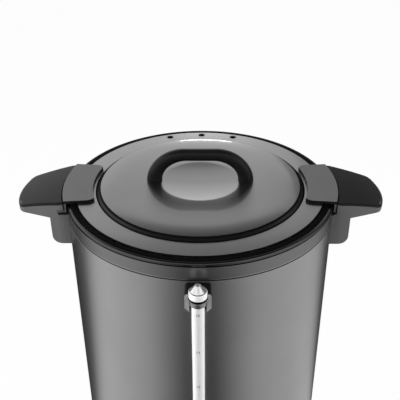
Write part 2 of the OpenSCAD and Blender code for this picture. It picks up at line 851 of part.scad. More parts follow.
// Controls
module control_panel() {
    color([0.12, 0.12, 0.12]) difference() {
        union() {
            difference() {
                box_y(0, panel_mid, panel_w, panel_h, panel_face, 0);
                box_y(0, panel_mid, panel_w - 2 * panel_t, panel_h - 2 * panel_t, panel_back, past);
            }
            for (x = [-post_x, post_x], z = post_zs) rod_y(x, z, post_d, panel_face + past, 0);
        }
        cylinder(r = body_r + shaft_gap, h = skirt_top);
        rod_y(0, panel_mid, dial_shaft_d + 2 * dial_room, panel_face - past, panel_back + past);
        box_y(-side_x, panel_mid, switch_w + 2 * nest_gap, switch_h + 2 * nest_gap,
              panel_face - past, panel_back + past);
        for (z = [panel_mid - lamp_pitch / 2, panel_mid + lamp_pitch / 2])
            rod_y(side_x, z, lamp_d + 2 * shaft_gap, panel_face - past, panel_back + past);
        for (x = [-post_x, post_x], z = post_zs)
            rod_y(x, z, panel_screw_d + 2 * shaft_gap, panel_back, 0);
    }
}

module panel_screws() {
    l = panel_screw_y - panel_back - past;
    color("silver") for (x = [-post_x, post_x], z = post_zs)
        translate([x, panel_screw_y, z]) rotate([90, 0, 0]) screw(panel_screw_d, l);
}

module thermostat() {
    color("ivory") difference() {
        box_y(0, panel_mid, thermostat_w, thermostat_w, panel_back, panel_back + thermostat_l);
        rod_y(0, panel_mid, dial_shaft_d + 2 * shaft_gap, panel_back - past, shaft_end_y + nest_gap);
    }
}

module dial_shaft(room, y0, y1) {
    difference() {
        rod_y(0, panel_mid, dial_shaft_d + 2 * room, y0, y1);
        box_y(0, panel_mid + (1 + dial_flat) * dial_shaft_d + room, 4 * dial_shaft_d, 2 * dial_shaft_d,
              panel_face - past, y0 - past);
    }
}

module thermostat_shaft() {
    color("silver") dial_shaft(0, shaft_front_y, shaft_end_y);
}

module thermostat_knob() {
    foot = panel_face - run_gap;
    color([0.1, 0.1, 0.1]) difference() {
        union() {
            rod_y(0, panel_mid, knob_ring_d, foot - knob_ring_t, foot);
            rod_y(0, panel_mid, knob_d, foot - knob_h, foot);
        }
        dial_shaft(shaft_gap, shaft_front_y - shaft_gap, foot + past);
    }
}

module thermostat_probe() {
    low = panel_mid + thermostat_w / 2;
    bulb_y = -plate_r + bulb_inset;
    color("peru") {
        translate([capillary_x, capillary_y, low]) cylinder(d = capillary_d, h = bulb_z - low);
        translate([capillary_x, capillary_y, bulb_z]) sphere(d = capillary_d);
        rod_y(capillary_x, bulb_z, capillary_d, capillary_y, bulb_y + past);
        rod_y(capillary_x, bulb_z, bulb_d, bulb_y, bulb_y + bulb_l);
    }
}

module power_switch() {
    color([0.15, 0.15, 0.15]) difference() {
        union() {
            box_y(-side_x, panel_mid, switch_w, switch_h, panel_face, switch_back);
            box_y(-side_x, panel_mid, switch_w + 2 * bezel, switch_h + 2 * bezel,
                  panel_face - bezel_t, panel_face);
        }
        box_y(-side_x, panel_mid, switch_w - 2 * switch_wall, switch_h - 2 * switch_wall + 2 * run_gap,
              panel_face - bezel_t - past, switch_back - switch_wall);
        translate([-side_x, rocker_y, panel_mid]) rotate([0, 90, 0])
            cylinder(d = rocker_pin_d + 2 * shaft_gap, h = switch_w - switch_wall, center = true);
    }
}

module rocker() {
    w = switch_w - 2 * switch_wall - 2 * nest_gap;
    pin_l = w + switch_wall;
    color("darkred") translate([-side_x, rocker_y, panel_mid]) rotate([-rocker_a, 0, 0]) {
        rotate([90, 0, 90]) linear_extrude(w, center = true) intersection() {
            circle(r = rocker_r);
            polygon([
                [-rocker_mid, 0], [-rocker_end, rocker_r], [rocker_back, rocker_r / 2],
                [rocker_back, -rocker_r / 2], [-rocker_end, -rocker_r]
            ]);
        }
        rotate([0, 90, 0]) cylinder(d = rocker_pin_d, h = pin_l, center = true);
    }
}

module lamp(z) {
    round_r = lens_d / 2 + past;
    rod_y(side_x, z, lamp_d, panel_face, switch_back - switch_wall);
    intersection() {
        rod_y(side_x, z, lens_d, panel_face - lens_h, panel_face);
        translate([side_x, panel_face - lens_h + round_r, z]) sphere(r = round_r);
    }
}

module power_lamp() {
    color("orange") lamp(panel_mid + lamp_pitch / 2);
}

module heating_lamp() {
    color("crimson") lamp(panel_mid - lamp_pitch / 2);
}

// Mains inlet at the back
module pin_places() {
    for (p = [[-pin_pitch / 2, -pin_lift / 2], [0, pin_lift / 2], [pin_pitch / 2, -pin_lift / 2]])
        translate([p[0], 0, inlet_z + p[1]]) children();
}

module power_inlet() {
    back = inlet_floor - 2 * inlet_wall;
    color([0.12, 0.12, 0.12]) difference() {
        union() {
            box_y(0, inlet_z, inlet_w, inlet_h, inlet_face, inlet_front);
            box_y(0, inlet_z, socket_w + 2 * inlet_wall, socket_h + 2 * inlet_wall, back, inlet_face);
        }
        box_y(0, inlet_z, socket_w, socket_h, inlet_floor, inlet_front + past);
        pin_places() box_y(0, 0, blade_t + 2 * shaft_gap, blade_w + 2 * shaft_gap,
                           back - past, inlet_floor + past);
        for (x = [-inlet_pitch / 2, inlet_pitch / 2])
            rod_y(x, inlet_z, inlet_screw_d + 2 * shaft_gap, inlet_face - past, inlet_front + past);
    }
}

module inlet_pins() {
    tail = 6 * inlet_wall;
    color("silver") pin_places() box_y(0, 0, blade_t, blade_w, inlet_floor - tail, inlet_front - blade_w);
}

module inlet_screws() {
    color("silver") for (x = [-inlet_pitch / 2, inlet_pitch / 2])
        translate([x, inlet_front, inlet_z]) rotate([90, 0, 0]) screw(inlet_screw_d, inlet_t + inlet_screw_l);
}

module terminal_block() {
    color("ivory") difference() {
        translate([-1.5 * pole_w, terminal_y, pan_top]) cube([3 * pole_w, terminal_l, terminal_h]);
        for (i = [-1 : 1], row = [1, 3])
            translate([i * pole_w, terminal_y + terminal_l * row / 4, pan_top + terminal_h / 3])
                cylinder(d = pole_w / 2, h = terminal_h);
    }
}

// Side handles
module grip_plan() {
    root = grip_root_w / 2;
    side = grip_corner_at + (grip_corner - arc_cross) * grip_side_out;
    tip = grip_corner_at * (grip_tip_r - 2 * arc_cross) / (grip_tip_r - grip_corner);
    translate([grip_mid_x, 0]) {
        polygon([
            [tank_r - grip_mid_x, -root], [ear_out_r - grip_mid_x, -root], [side[0], -side[1]], [tip[0], -tip[1]],
            tip, side, [ear_out_r - grip_mid_x, root], [tank_r - grip_mid_x, root]
        ]);
        for (y = [-1, 1]) translate([grip_corner_at[0], y * grip_corner_at[1]]) circle(r = grip_corner);
        intersection() {
            circle(r = grip_tip_r - arc_cross);
            polygon([[0, 0], [2 * tip[0], -2 * tip[1]], 2 * tip]);
        }
    }
}

// Side view of grip and bracket, with the bracket's lower edge rounded
module grip_side() {
    difference() {
        polygon([
            [tank_r, ear_z], [grip_x, ear_z], [grip_x, grip_top(grip_x) - grip_tip_t],
            [bracket_x, grip_low_z], [bracket_x, bracket_low], [tank_r, bracket_low]
        ]);
        translate([bracket_x - bracket_corner, bracket_low + bracket_corner]) difference() {
            translate([0, -2 * bracket_corner]) square(2 * bracket_corner);
            circle(r = bracket_corner);
        }
    }
}

// All that lies under the crowned top, turned round the urn's axis
module grip_crown() {
    far_r = norm([grip_x, grip_root_w / 2]);
    rotate([0, 0, -slot_a / 2]) rotate_extrude(angle = slot_a) polygon([
        [tank_r, bracket_low - past], [far_r, bracket_low - past],
        for (i = [crown_steps : -1 : 0])
            let (r = ear_out_r + (far_r - ear_out_r) * i / crown_steps) [r, grip_top(r)],
        [tank_r, grip_top(ear_out_r)]
    ]);
}

// The handle on the +X side; the other one is the same piece turned half round
module handle() {
    difference() {
        intersection() {
            translate([0, 0, bracket_low]) linear_extrude(ear_z - bracket_low) grip_plan();
            rotate([90, 0, 0]) linear_extrude(grip_root_w + past, center = true) grip_side();
            grip_crown();
        }
        cylinder(r = body_r + shaft_gap, h = ear_z + past);
        translate([0, 0, slot_z]) cylinder(r = ear_out_r + ear_gap, h = ear_z);
        rotate([0, 0, -tongue_a - slot_end_gap_a]) rotate_extrude(angle = slot_a)
            translate([body_r, slot_z]) square([slot_r - body_r, tongue_t + 2 * slot_room]);
        handle_screw_places()
            cylinder(d = handle_screw_d + 2 * shaft_gap, h = collar_w + handle_screw_l + past);
    }
}

module right_handle() {
    color([0.12, 0.12, 0.12]) handle();
}

module left_handle() {
    color([0.12, 0.12, 0.12]) rotate([0, 0, 180]) handle();
}

module handle_screws() {
    color("silver") handle_screw_places() translate([0, 0, -head_room])
        screw(handle_screw_d, collar_w + handle_screw_l - past);
}

// Lid
module lid_seal() {
    color([0.03, 0.03, 0.03]) rotate_extrude() polygon([
        [seal_in_r - seal_lip_w, seal_low], [rim_r, seal_low], [rim_r, flange_z - seal_sink],
        [seal_in_r, flange_z - seal_sink], [seal_in_r, seal_low + seal_lip_t],
        [seal_in_r - seal_lip_w, seal_low + seal_lip_t]
    ]);
}

// Filled outline of the lid, drawn in by a sheet's thickness for its underside
module lid_fill(inset, low) {
    difference() {
        polygon([
            [0, low], [lid_r - inset, low], [lid_r - inset, flange_z - inset],
            [step_r - inset, flange_z - inset], [dome_r - inset, dome_edge_z - inset],
            [crown_r, dome_z - inset], [0, dome_z - inset]
        ]);
        translate([0, dome_z - recess_depth + dish_r]) circle(r = dish_r + inset, $fn = 192);
    }
}

module ear_screw_places() {
    for (side = [0, 180], a = [-ear_screw_a, ear_screw_a]) rotate([0, 0, side + a])
        translate([ear_screw_r, 0, flange_z - lid_t]) children();
}

module leg_places() {
    for (x = [-arch_span / 2, arch_span / 2]) translate([x, 0, 0]) children();
}

module lid_pan() {
    color([0.25, 0.25, 0.27]) difference() {
        rotate_extrude() difference() {
            lid_fill(0, lid_low);
            lid_fill(lid_t, lid_low - past);
        }
        for (a = [-vent_step, 0, vent_step]) rotate([0, 0, 90 + a]) translate([vent_r, 0, lid_low])
            cylinder(d = vent_d, h = flange_z);
        ear_screw_places() cylinder(d = lid_screw_d + 2 * shaft_gap, h = 4 * lid_t, center = true);
        leg_places() translate([0, 0, dome_z])
            cylinder(d = lid_screw_d + 2 * shaft_gap, h = 4 * lid_t, center = true);
    }
}

// Points round the arch on one side, at an angle from 0, the right foot, to 180, the left foot
function arch_ring(side, a) = let (
    mid = [side * (arch_span / 2 - arch_bend) + arch_bend * cos(a), arch_rise * sin(a)],
    way = [arch_rise * cos(a), arch_bend * sin(a)],
    reach = way / norm(way) * (arch_d + (arch_foot_w - arch_d) * abs(90 - a) / 90) / 2
) [
    for (k = [0 : arch_sides - 1])
        let (u = 360 * k / arch_sides, p = mid + reach * cos(u)) [p[0], -arch_d / 2 * sin(u), p[1]]
];

module lid_handle() {
    points = [
        for (i = [0 : bend_steps]) each arch_ring(1, 90 * i / bend_steps),
        for (i = [0 : bend_steps]) each arch_ring(-1, 90 + 90 * i / bend_steps)
    ];
    color([0.08, 0.08, 0.08]) translate([0, 0, dome_z]) difference() {
        polyhedron(points, tube_faces(arch_sides, 2 * bend_steps + 1));
        leg_places() translate([0, 0, -past])
            cylinder(d = lid_screw_d + 2 * shaft_gap, h = arch_screw_l + 2 * past);
    }
}

module lid_handle_screws() {
    color("silver") leg_places() translate([0, 0, dome_z - lid_t]) screw(lid_screw_d, arch_screw_l);
}

// Slanting ends and rounded inner corners of an ear
module ear_plan() {
    w = ear_w / 2;
    in_w = w - (ear_out_r - ear_in_r) * tan(ear_taper);
    in_x = ear_in_r * cos(asin(in_w / ear_in_r)) + past;
    mid_x = in_x + ear_corner;
    mid_y = w - (ear_corner + (ear_out_r - mid_x) * sin(ear_taper)) / cos(ear_taper);
    touch = [mid_x - ear_corner * sin(ear_taper), mid_y + ear_corner * cos(ear_taper)];
    polygon([
        [in_x, -mid_y], [touch[0], -touch[1]], [ear_out_r, -w], [ear_out_r + past, -w],
        [ear_out_r + past, w], [ear_out_r, w], touch, [in_x, mid_y]
    ]);
    for (y = [-mid_y, mid_y]) translate([mid_x, y]) circle(r = ear_corner);
}

// The ear on the +X side; the other one is the same piece turned half round
module ear() {
    skirt_r = body_r + ear_room;
    difference() {
        union() {
            intersection() {
                rotate([0, 0, -slot_a / 2]) rotate_extrude(angle = slot_a) polygon([
                    [ear_in_r, flange_z], [skirt_r, flange_z], [skirt_r, tongue_z], [ear_out_r, tongue_z],
                    [ear_out_r, ear_z], [ear_in_r, ear_z]
                ]);
                translate([0, 0, tongue_z - past]) linear_extrude(ear_skirt_h + 2 * past) ear_plan();
            }
            rotate([0, 0, -tongue_a]) rotate_extrude(angle = tongue_a + tongue_open_a)
                translate([ear_out_r - ear_skirt_t / 2, tongue_z])
                    square([tongue_w + ear_skirt_t / 2, tongue_t]);
        }
        ear_screw_places() cylinder(d = lid_screw_d + 2 * shaft_gap, h = lid_t + ear_screw_l);
    }
}

module lid_ear_right() {
    color([0.12, 0.12, 0.12]) ear();
}

module lid_ear_left() {
    color([0.12, 0.12, 0.12]) rotate([0, 0, 180]) ear();
}

module ear_screws() {
    color("silver") ear_screw_places() screw(lid_screw_d, lid_t + ear_screw_l - nest_gap);
}

// Sight gauge
module at_gauge(z) {
    translate([0, gauge_y, z]) children();
}

module gauge_tube() {
    color("aliceblue", 0.5) at_gauge(tube_low) ring(tube_d / 2, tube_bore / 2, tube_top - tube_low);
}

module gauge_cap() {
    color("gainsboro") at_gauge(cap_z) difference() {
        union() {
            cylinder(d = cap_d, h = cap_h);
            translate([0, 0, cap_h]) cylinder(d1 = cap_d, d2 = cap_tip_d, h = cap_cone_h);
        }
        translate([0, 0, -past]) cylinder(d = tube_d + 2 * shaft_gap, h = cap_grip + past);
        cylinder(d = cap_vent_d, h = cap_h + cap_cone_h + past);
    }
}

module gauge_cap_seal() {
    color([0.05, 0.05, 0.05]) at_gauge(ferrule_top)
        ring((ferrule_d + tube_d) / 4, tube_d / 2 + shaft_gap, cap_seal_h);
}

module gauge_ferrule() {
    color("gray") at_gauge(ferrule_z) ring(ferrule_d / 2, tube_d / 2 + shaft_gap, ferrule_h);
}

// Front view of the cradle, with its upper corners rounded and its lower ones cut
module clip_outline() {
    w = clip_w / 2;
    top = seam_z - clip_gap;
    low = top - clip_h;
    polygon([
        [-w, low + clip_cut], [-w + clip_cut, low], [w - clip_cut, low], [w, low + clip_cut],
        [w, top - clip_corner], [w - clip_corner, top], [-w + clip_corner, top], [-w, top - clip_corner]
    ]);
    for (x = [-w + clip_corner, w - clip_corner]) translate([x, top - clip_corner]) circle(r = clip_corner);
}

module gauge_bracket() {
    color([0.1, 0.1, 0.1]) difference() {
        rotate([90, 0, 0]) linear_extrude(clip_wrap - gauge_y) clip_outline();
        cylinder(r = body_r + shaft_gap, h = seam_z);
        at_gauge(0) cylinder(r = ferrule_d / 2 + shaft_gap, h = seam_z);
        at_gauge(ferrule_top) cylinder(r = cap_d / 2 + run_gap, h = clip_h);
        clip_screw_places() cylinder(d = clip_screw_d + 2 * shaft_gap, h = collar_w + clip_screw_l + past);
    }
}

module gauge_screws() {
    color("silver") clip_screw_places() translate([0, 0, -head_room])
        screw(clip_screw_d, collar_w + clip_screw_l);
}

module gauge_seal() {
    color([0.05, 0.05, 0.05]) at_gauge(socket_top)
        ring(socket_d / 2 - nest_gap, tube_d / 2 + shaft_gap, gauge_seal_h);
}

module gauge_nut() {
    low = socket_top - gauge_nut_lap;
    h = gauge_nut_lap + gauge_seal_h + gauge_nut_top;
    color("gainsboro") at_gauge(low) difference() {
        cylinder(d = gauge_nut_w / cos(30), h = h, $fn = 6);
        translate([0, 0, -past])
            cylinder(d = socket_d + 2 * shaft_gap, h = gauge_nut_lap + gauge_seal_h + past);
        cylinder(d = tube_d + 2 * nest_gap, h = h + past);
    }
}

// Tap
module at_valve(z) {
    translate([0, valve_y, z]) children();
}

module tap_body() {
    low = seat_z - chamber_wall;
    color("gainsboro") difference() {
        union() {
            rod_y(0, tap_z, shank_d, shank_end_y, tap_flange_y);
            rod_y(0, tap_z, tap_flange_d, tap_flange_y, tap_flange_y - tap_flange_t);
            rod_y(0, tap_z, tap_neck_d, tap_flange_y, valve_y);
            at_valve(low) cylinder(d = chamber_d, h = chamber_top - low);
            at_valve(low - spout_l) cylinder(d = spout_d, h = spout_l + past);
            at_gauge(tap_z) cylinder(d = socket_d, h = socket_rise);
        }
        rod_y(0, tap_z, tap_bore, shank_end_y + past, valve_y);
        at_valve(seat_z) cylinder(d = chamber_bore, h = chamber_top);
        at_valve(low - spout_l - past) cylinder(d = tap_bore, h = spout_l + chamber_wall + 2 * past);
        at_gauge(tap_z) cylinder(d = tube_bore, h = socket_rise);
        at_gauge(tube_low) cylinder(d = tube_d + 2 * shaft_gap, h = socket_rise);
    }
}

module tap_washer() {
    color([0.05, 0.05, 0.05]) difference() {
        rod_y(0, tap_z, tap_flange_d, tap_flange_y, 0);
        rod_y(0, tap_z, hole_d, tap_flange_y - past, past);
        cylinder(r = body_r + shaft_gap, h = 2 * tap_z, $fn = 360);
    }
}

module tap_inner_washer() {
    color([0.05, 0.05, 0.05]) intersection() {
        difference() {
            rod_y(0, tap_z, tap_flange_d, -body_r, inner_washer_y);
            rod_y(0, tap_z, hole_d, -body_r - past, inner_washer_y + past);
        }
        cylinder(r = tank_r - shaft_gap, h = 2 * tap_z, $fn = 360);
    }
}

module tap_nut() {
    color("goldenrod") difference() {
        translate([0, tap_nut_y, tap_z]) rotate([90, 0, 0])
            cylinder(d = tap_nut_w / cos(30), h = tap_nut_t, $fn = 6);
        rod_y(0, tap_z, shank_d + 2 * shaft_gap, inner_washer_y - past, tap_nut_y + past);
    }
}

module tap_bonnet() {
    color("gainsboro") at_valve(chamber_top - bonnet_lap) difference() {
        cylinder(d = bonnet_d, h = bonnet_lap + bonnet_h);
        translate([0, 0, -past]) cylinder(d = chamber_d + 2 * shaft_gap, h = bonnet_lap + past);
        cylinder(d = stem_d + 2 * shaft_gap, h = bonnet_lap + bonnet_h + past);
    }
}

module tap_stem() {
    color("silver") difference() {
        at_valve(stem_low) cylinder(d = stem_d, h = stem_top - stem_low);
        at_valve(pin_z) rotate([0, 90, 0]) cylinder(d = pin_d + 2 * shaft_gap, h = 2 * stem_d, center = true);
    }
}

module tap_seat_cup() {
    color([0.05, 0.05, 0.05]) at_valve(cup_z) difference() {
        cylinder(d = cup_d, h = cup_h);
        translate([0, 0, cup_h - cup_grip]) cylinder(d = stem_d + 2 * shaft_gap, h = cup_grip + past);
    }
}

// Points of the spring: rings of wire_sides points along a helix
function spring_ring(i, low, pitch) = [
    for (k = [0 : wire_sides - 1])
        let (a = 360 * i / turn_steps, u = 360 * k / wire_sides, r = (spring_d + spring_wire * cos(u)) / 2)
            [r * cos(a), r * sin(a), low + pitch * i / turn_steps + spring_wire * sin(u) / 2]
];

module tap_spring() {
    low = cup_z + cup_h + spring_wire / 2 + shaft_gap;
    high = chamber_top - spring_wire / 2 - shaft_gap;
    last = spring_turns * turn_steps;
    pitch = (high - low) / spring_turns;
    points = [for (i = [0 : last]) each spring_ring(i, low, pitch)];
    color("silver") at_valve(0) polyhedron(points, tube_faces(wire_sides, last));
}

// Side view of the lever, from its pin: the cam in front of it and the paddle above it
module lever_side() {
    top_r = paddle_t / 2;
    translate([-cam_offset, 0]) circle(r = cam_r);
    polygon([
        [-cam_offset - cam_r, 0], [-cam_offset - top_r, lever_l - top_r],
        [-cam_offset + top_r, lever_l - top_r], [-cam_offset + cam_r, 0]
    ]);
    translate([-cam_offset, lever_l - top_r]) circle(r = top_r);
}

module tap_lever() {
    color([0.1, 0.1, 0.1]) at_valve(pin_z) difference() {
        union() {
            rotate([90, 0, 90]) linear_extrude(lever_w, center = true) lever_side();
            intersection() {
                rotate([90, 0, 90]) linear_extrude(paddle_w, center = true) lever_side();
                translate([-paddle_w, -lever_l, lever_l / 2]) cube([2 * paddle_w, 2 * lever_l, lever_l]);
            }
        }
        translate([-stem_d / 2 - run_gap, -lever_l, -lever_l])
            cube([stem_d + 2 * run_gap, 2 * lever_l, lever_l + lever_slot_r]);
        rotate([0, 90, 0]) cylinder(d = pin_d + 2 * shaft_gap, h = 2 * lever_w, center = true);
    }
}

module lever_pin() {
    color("silver") at_valve(pin_z) rotate([0, 90, 0])
        cylinder(d = pin_d, h = lever_w + 2 * pin_spare, center = true);
}

feet();
foot_screws();
base_pan();
base_skirt();
shell_screws();
outer_shell();
insulation();
inner_tank();
top_collar();
heater_plate();
heating_element();
thermal_cutout();
reset_button();
thermostat();
thermostat_probe();
thermostat_shaft();
thermostat_knob();
control_panel();
panel_screws();
power_switch();
rocker();
power_lamp();
heating_lamp();
power_inlet();
inlet_pins();
inlet_screws();
terminal_block();
left_handle();
right_handle();
handle_screws();
lid_seal();
lid_pan();
lid_handle();
lid_handle_screws();
lid_ear_left();
lid_ear_right();
ear_screws();
gauge_tube();
gauge_cap();
gauge_cap_seal();
gauge_ferrule();
gauge_bracket();
gauge_screws();
gauge_nut();
gauge_seal();
tap_body();
tap_washer();
tap_inner_washer();
tap_nut();
tap_bonnet();
tap_stem();
tap_seat_cup();
tap_spring();
tap_lever();
lever_pin();
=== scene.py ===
"""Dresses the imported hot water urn: painted shell and lid, handles, sight glass, tap and dial."""

import json
import math

import bmesh
import bpy
from mathutils import Matrix, Vector


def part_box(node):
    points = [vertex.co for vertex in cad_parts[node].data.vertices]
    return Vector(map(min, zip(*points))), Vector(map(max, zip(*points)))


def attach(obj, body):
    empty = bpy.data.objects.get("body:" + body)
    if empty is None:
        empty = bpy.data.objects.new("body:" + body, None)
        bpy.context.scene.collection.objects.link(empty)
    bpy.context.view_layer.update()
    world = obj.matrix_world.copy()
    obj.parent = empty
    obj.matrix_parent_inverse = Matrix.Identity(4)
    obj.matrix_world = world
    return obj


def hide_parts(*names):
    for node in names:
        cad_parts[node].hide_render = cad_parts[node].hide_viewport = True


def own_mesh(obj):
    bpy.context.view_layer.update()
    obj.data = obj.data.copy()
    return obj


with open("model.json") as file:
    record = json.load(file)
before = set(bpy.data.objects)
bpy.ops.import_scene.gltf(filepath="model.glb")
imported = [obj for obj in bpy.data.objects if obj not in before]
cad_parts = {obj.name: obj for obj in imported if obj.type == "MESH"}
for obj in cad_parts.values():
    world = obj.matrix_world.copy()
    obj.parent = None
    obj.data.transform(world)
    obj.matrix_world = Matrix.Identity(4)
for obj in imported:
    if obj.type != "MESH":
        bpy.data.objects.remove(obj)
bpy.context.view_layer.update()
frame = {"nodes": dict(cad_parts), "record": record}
nodes = frame["nodes"]
body_of = {n: b for b, members in frame["record"]["behaviour"]["bodies"].items() for n in members}
slot_of = {part["node"]: part["material_slot"] for part in frame["record"]["subparts"]}
MM = 0.001


# Materials

NOISE_DETAIL = 3.0


def shader(name, **values):
    """A material with its values set on the shader's own sockets."""
    material = bpy.data.materials.new(name)
    material.use_nodes = True
    bsdf = material.node_tree.nodes["Principled BSDF"]
    for key, value in values.items():
        bsdf.inputs[key.replace("_", " ")].default_value = value
    return material, material.node_tree, bsdf


def grey(level):
    return (level, level, level, 1.0)


def noise(tree, size, stretch=(1, 1, 1)):
    """A noise with features of about that size in metres, in the object's own coordinates."""
    coord = tree.nodes.new("ShaderNodeTexCoord")
    mapping = tree.nodes.new("ShaderNodeMapping")
    mapping.inputs["Scale"].default_value = stretch
    texture = tree.nodes.new("ShaderNodeTexNoise")
    texture.inputs["Scale"].default_value = 1 / size
    texture.inputs["Detail"].default_value = NOISE_DETAIL
    tree.links.new(coord.outputs["Object"], mapping.inputs["Vector"])
    tree.links.new(mapping.outputs["Vector"], texture.inputs["Vector"])
    return texture.outputs["Fac"]


def spread(tree, value, low, high):
    """Maps the middle of a noise to a range."""
    node = tree.nodes.new("ShaderNodeMapRange")
    node.inputs["From Min"].default_value = 0.3
    node.inputs["From Max"].default_value = 0.7
    node.inputs["To Min"].default_value = low
    node.inputs["To Max"].default_value = high
    tree.links.new(value, node.inputs["Value"])
    return node.outputs["Result"]


def blend_colours(tree, value, first, second):
    node = tree.nodes.new("ShaderNodeMix")
    node.data_type = "RGBA"
    node.inputs["A"].default_value = first
    node.inputs["B"].default_value = second
    tree.links.new(value, node.inputs["Factor"])
    return node.outputs["Result"]


def bump(tree, bsdf, value, depth):
    node = tree.nodes.new("ShaderNodeBump")
    node.inputs["Distance"].default_value = depth
    tree.links.new(value, node.inputs["Height"])
    tree.links.new(node.outputs["Normal"], bsdf.inputs["Normal"])


def finish_of(name, colour, rough, tone=0.12, cloud=0.03, grain=0.0006, depth=0.00002,
              stretch=(1, 1, 1), rough_by=0.05, **values):
    """A surface whose colour and roughness drift over cloud, with a fine grain in its relief."""
    material, tree, bsdf = shader(name, **values)
    patch = spread(tree, noise(tree, cloud), 0.0, 1.0)
    darker = tuple(c * (1 - tone) for c in colour[:3]) + (1.0,)
    lighter = tuple(c * (1 + tone) for c in colour[:3]) + (1.0,)
    tree.links.new(blend_colours(tree, patch, darker, lighter), bsdf.inputs["Base Color"])
    fine = noise(tree, grain, stretch)
    tree.links.new(spread(tree, fine, rough - rough_by, rough + rough_by), bsdf.inputs["Roughness"])
    bump(tree, bsdf, fine, depth)
    return material


def painted(name, level, rough, tint=0.7, **values):
    """A smooth metallic paint."""
    return finish_of(name, grey(level), rough, tone=0.03, cloud=0.06, depth=0.000004, rough_by=0.02,
                     Metallic=1.0, Specular_Tint=grey(tint), **values)


paint = painted("satin_paint", 0.36, 0.36, grain=0.0012, Coat_Weight=0.5, Coat_Roughness=0.05)
# A darker copy of the satin paint: painted shade on the top of the lid's dome.
dome_shaded_paint = painted("dome_shaded_paint", 0.29, 0.34, grain=0.0012, Coat_Weight=0.7, Coat_Roughness=0.05)
# A darker copy of the satin paint: painted shade on the collar's band.
collar_shaded_paint = painted("collar_shaded_paint", 0.22, 0.4)
# A near-black copy of the satin paint: painted shade on the collar's bead.
bead_shaded_paint = painted("bead_shaded_paint", 0.09, 0.2)
# A near-black copy of the satin paint: painted shade on the wall of the lid's step.
step_shade_paint = painted("step_shade_paint", 0.06, 0.34, tint=0.5)
side_plastic = finish_of("grip_side_plastic", grey(0.105), 0.5, tone=0.06)
# A near-black copy of the handles' grey plastic: painted shade on the tops of the grips.
shaded_top_plastic = finish_of("grip_shaded_top_plastic", grey(0.008), 0.4, tone=0.06, Specular_IOR_Level=0.18)
# A lit grey copy of the ears' plastic, on their flat tops and the fronts of their lower parts; their
# other faces are painted shade in the near-black plastic.
ear_lit_plastic = finish_of("ear_lit_plastic", grey(0.115), 0.45, tone=0.05)
# Near-black plastic: the gauge's bracket, and painted shade on the walls and edge rounds of the ears.
black_plastic_and_shade = finish_of("black_plastic_and_shade", grey(0.006), 0.45, tone=0.1, Specular_IOR_Level=0.2)
arch_plastic = finish_of("arch_plastic", grey(0.006), 0.42, tone=0.1, depth=0.000012,
                         Specular_IOR_Level=0.3)
base_plastic = finish_of("base_plastic", grey(0.02), 0.45, tone=0.1)
# Near-black paint for painted shadow lines.
shadow_line_paint = finish_of("shadow_line_paint", grey(0.004), 0.5, tone=0.1, depth=0.000004, Specular_IOR_Level=0.03)
rubber = finish_of("rubber", grey(0.003), 0.6, tone=0.15, Specular_IOR_Level=0.02)
chrome = finish_of("chrome", grey(0.9), 0.14, tone=0.02, depth=0.000002, rough_by=0.02, Metallic=1.0)
cap_white = finish_of("cap_white", grey(0.95), 0.3, tone=0.02, depth=0.000002, rough_by=0.02)
cheek_grey = finish_of("cheek_grey", grey(0.38), 0.5, tone=0.06)
steel = finish_of("brushed_steel", grey(0.62), 0.32, tone=0.05, grain=0.0005, stretch=(1, 1, 0.02),
                  depth=0.000006, rough_by=0.08, Metallic=1.0)
screw_steel = finish_of("screw_steel", grey(0.55), 0.28, tone=0.08, depth=0.000004, Metallic=1.0)
ferrule_metal = finish_of("ferrule_metal", grey(0.3), 0.35, tone=0.1, depth=0.000004, Metallic=1.0)
aluminium = finish_of("cast_aluminium", grey(0.7), 0.45, tone=0.06, depth=0.00002, Metallic=1.0)
element_steel = finish_of("element_steel", (0.2, 0.18, 0.17, 1), 0.4, tone=0.2, cloud=0.01, Metallic=1.0)
wool = finish_of("mineral_wool", (0.7, 0.62, 0.38, 1), 0.95, tone=0.15, cloud=0.008, grain=0.001,
                 depth=0.0006)
pale_plastic = finish_of("pale_plastic", (0.78, 0.74, 0.63, 1), 0.45, tone=0.04)
copper = finish_of("copper", (0.72, 0.4, 0.27, 1), 0.3, tone=0.1, depth=0.000004, Metallic=1.0)
brass = finish_of("brass", (0.75, 0.56, 0.24, 1), 0.25, tone=0.06, depth=0.000004, Metallic=1.0)
amber = finish_of("amber_lens", (0.85, 0.33, 0.02, 1), 0.12, tone=0.05, depth=0.000003,
                  Transmission_Weight=0.35)
red = finish_of("red_lens", (0.65, 0.02, 0.015, 1), 0.12, tone=0.05, depth=0.000003,
                Transmission_Weight=0.35)
rocker_red = finish_of("rocker_plastic", (0.42, 0.015, 0.012, 1), 0.25, tone=0.05, depth=0.000008)
white_ink = finish_of("white_ink", grey(0.8), 0.5, tone=0.03)
grey_ink = finish_of("grey_ink", grey(0.12), 0.5, tone=0.1)
glass = finish_of("gauge_glass", grey(0.86), 0.06, tone=0.02, depth=0.000002, rough_by=0.02,
                  Coat_Weight=1.0, Coat_Roughness=0.03)

SLOT_MATERIALS = {
    "paint": paint, "handle_plastic": side_plastic, "arch_plastic": arch_plastic,
    "base_plastic": base_plastic, "rubber": rubber, "tank_steel": steel, "screw_steel": screw_steel,
    "bright_chrome": chrome, "ferrule_grey": ferrule_metal, "gauge_glass": glass,
    "heater_aluminium": aluminium, "element_steel": element_steel, "wool": wool,
    "pale_plastic": pale_plastic, "copper": copper, "nut_brass": brass, "amber_lens": amber,
    "red_lens": red, "rocker_plastic": rocker_red, "reset_plastic": rocker_red,
}
for name, node in nodes.items():
    node.data.materials.clear()
    node.data.materials.append(SLOT_MATERIALS[slot_of[name]])


# Meshes

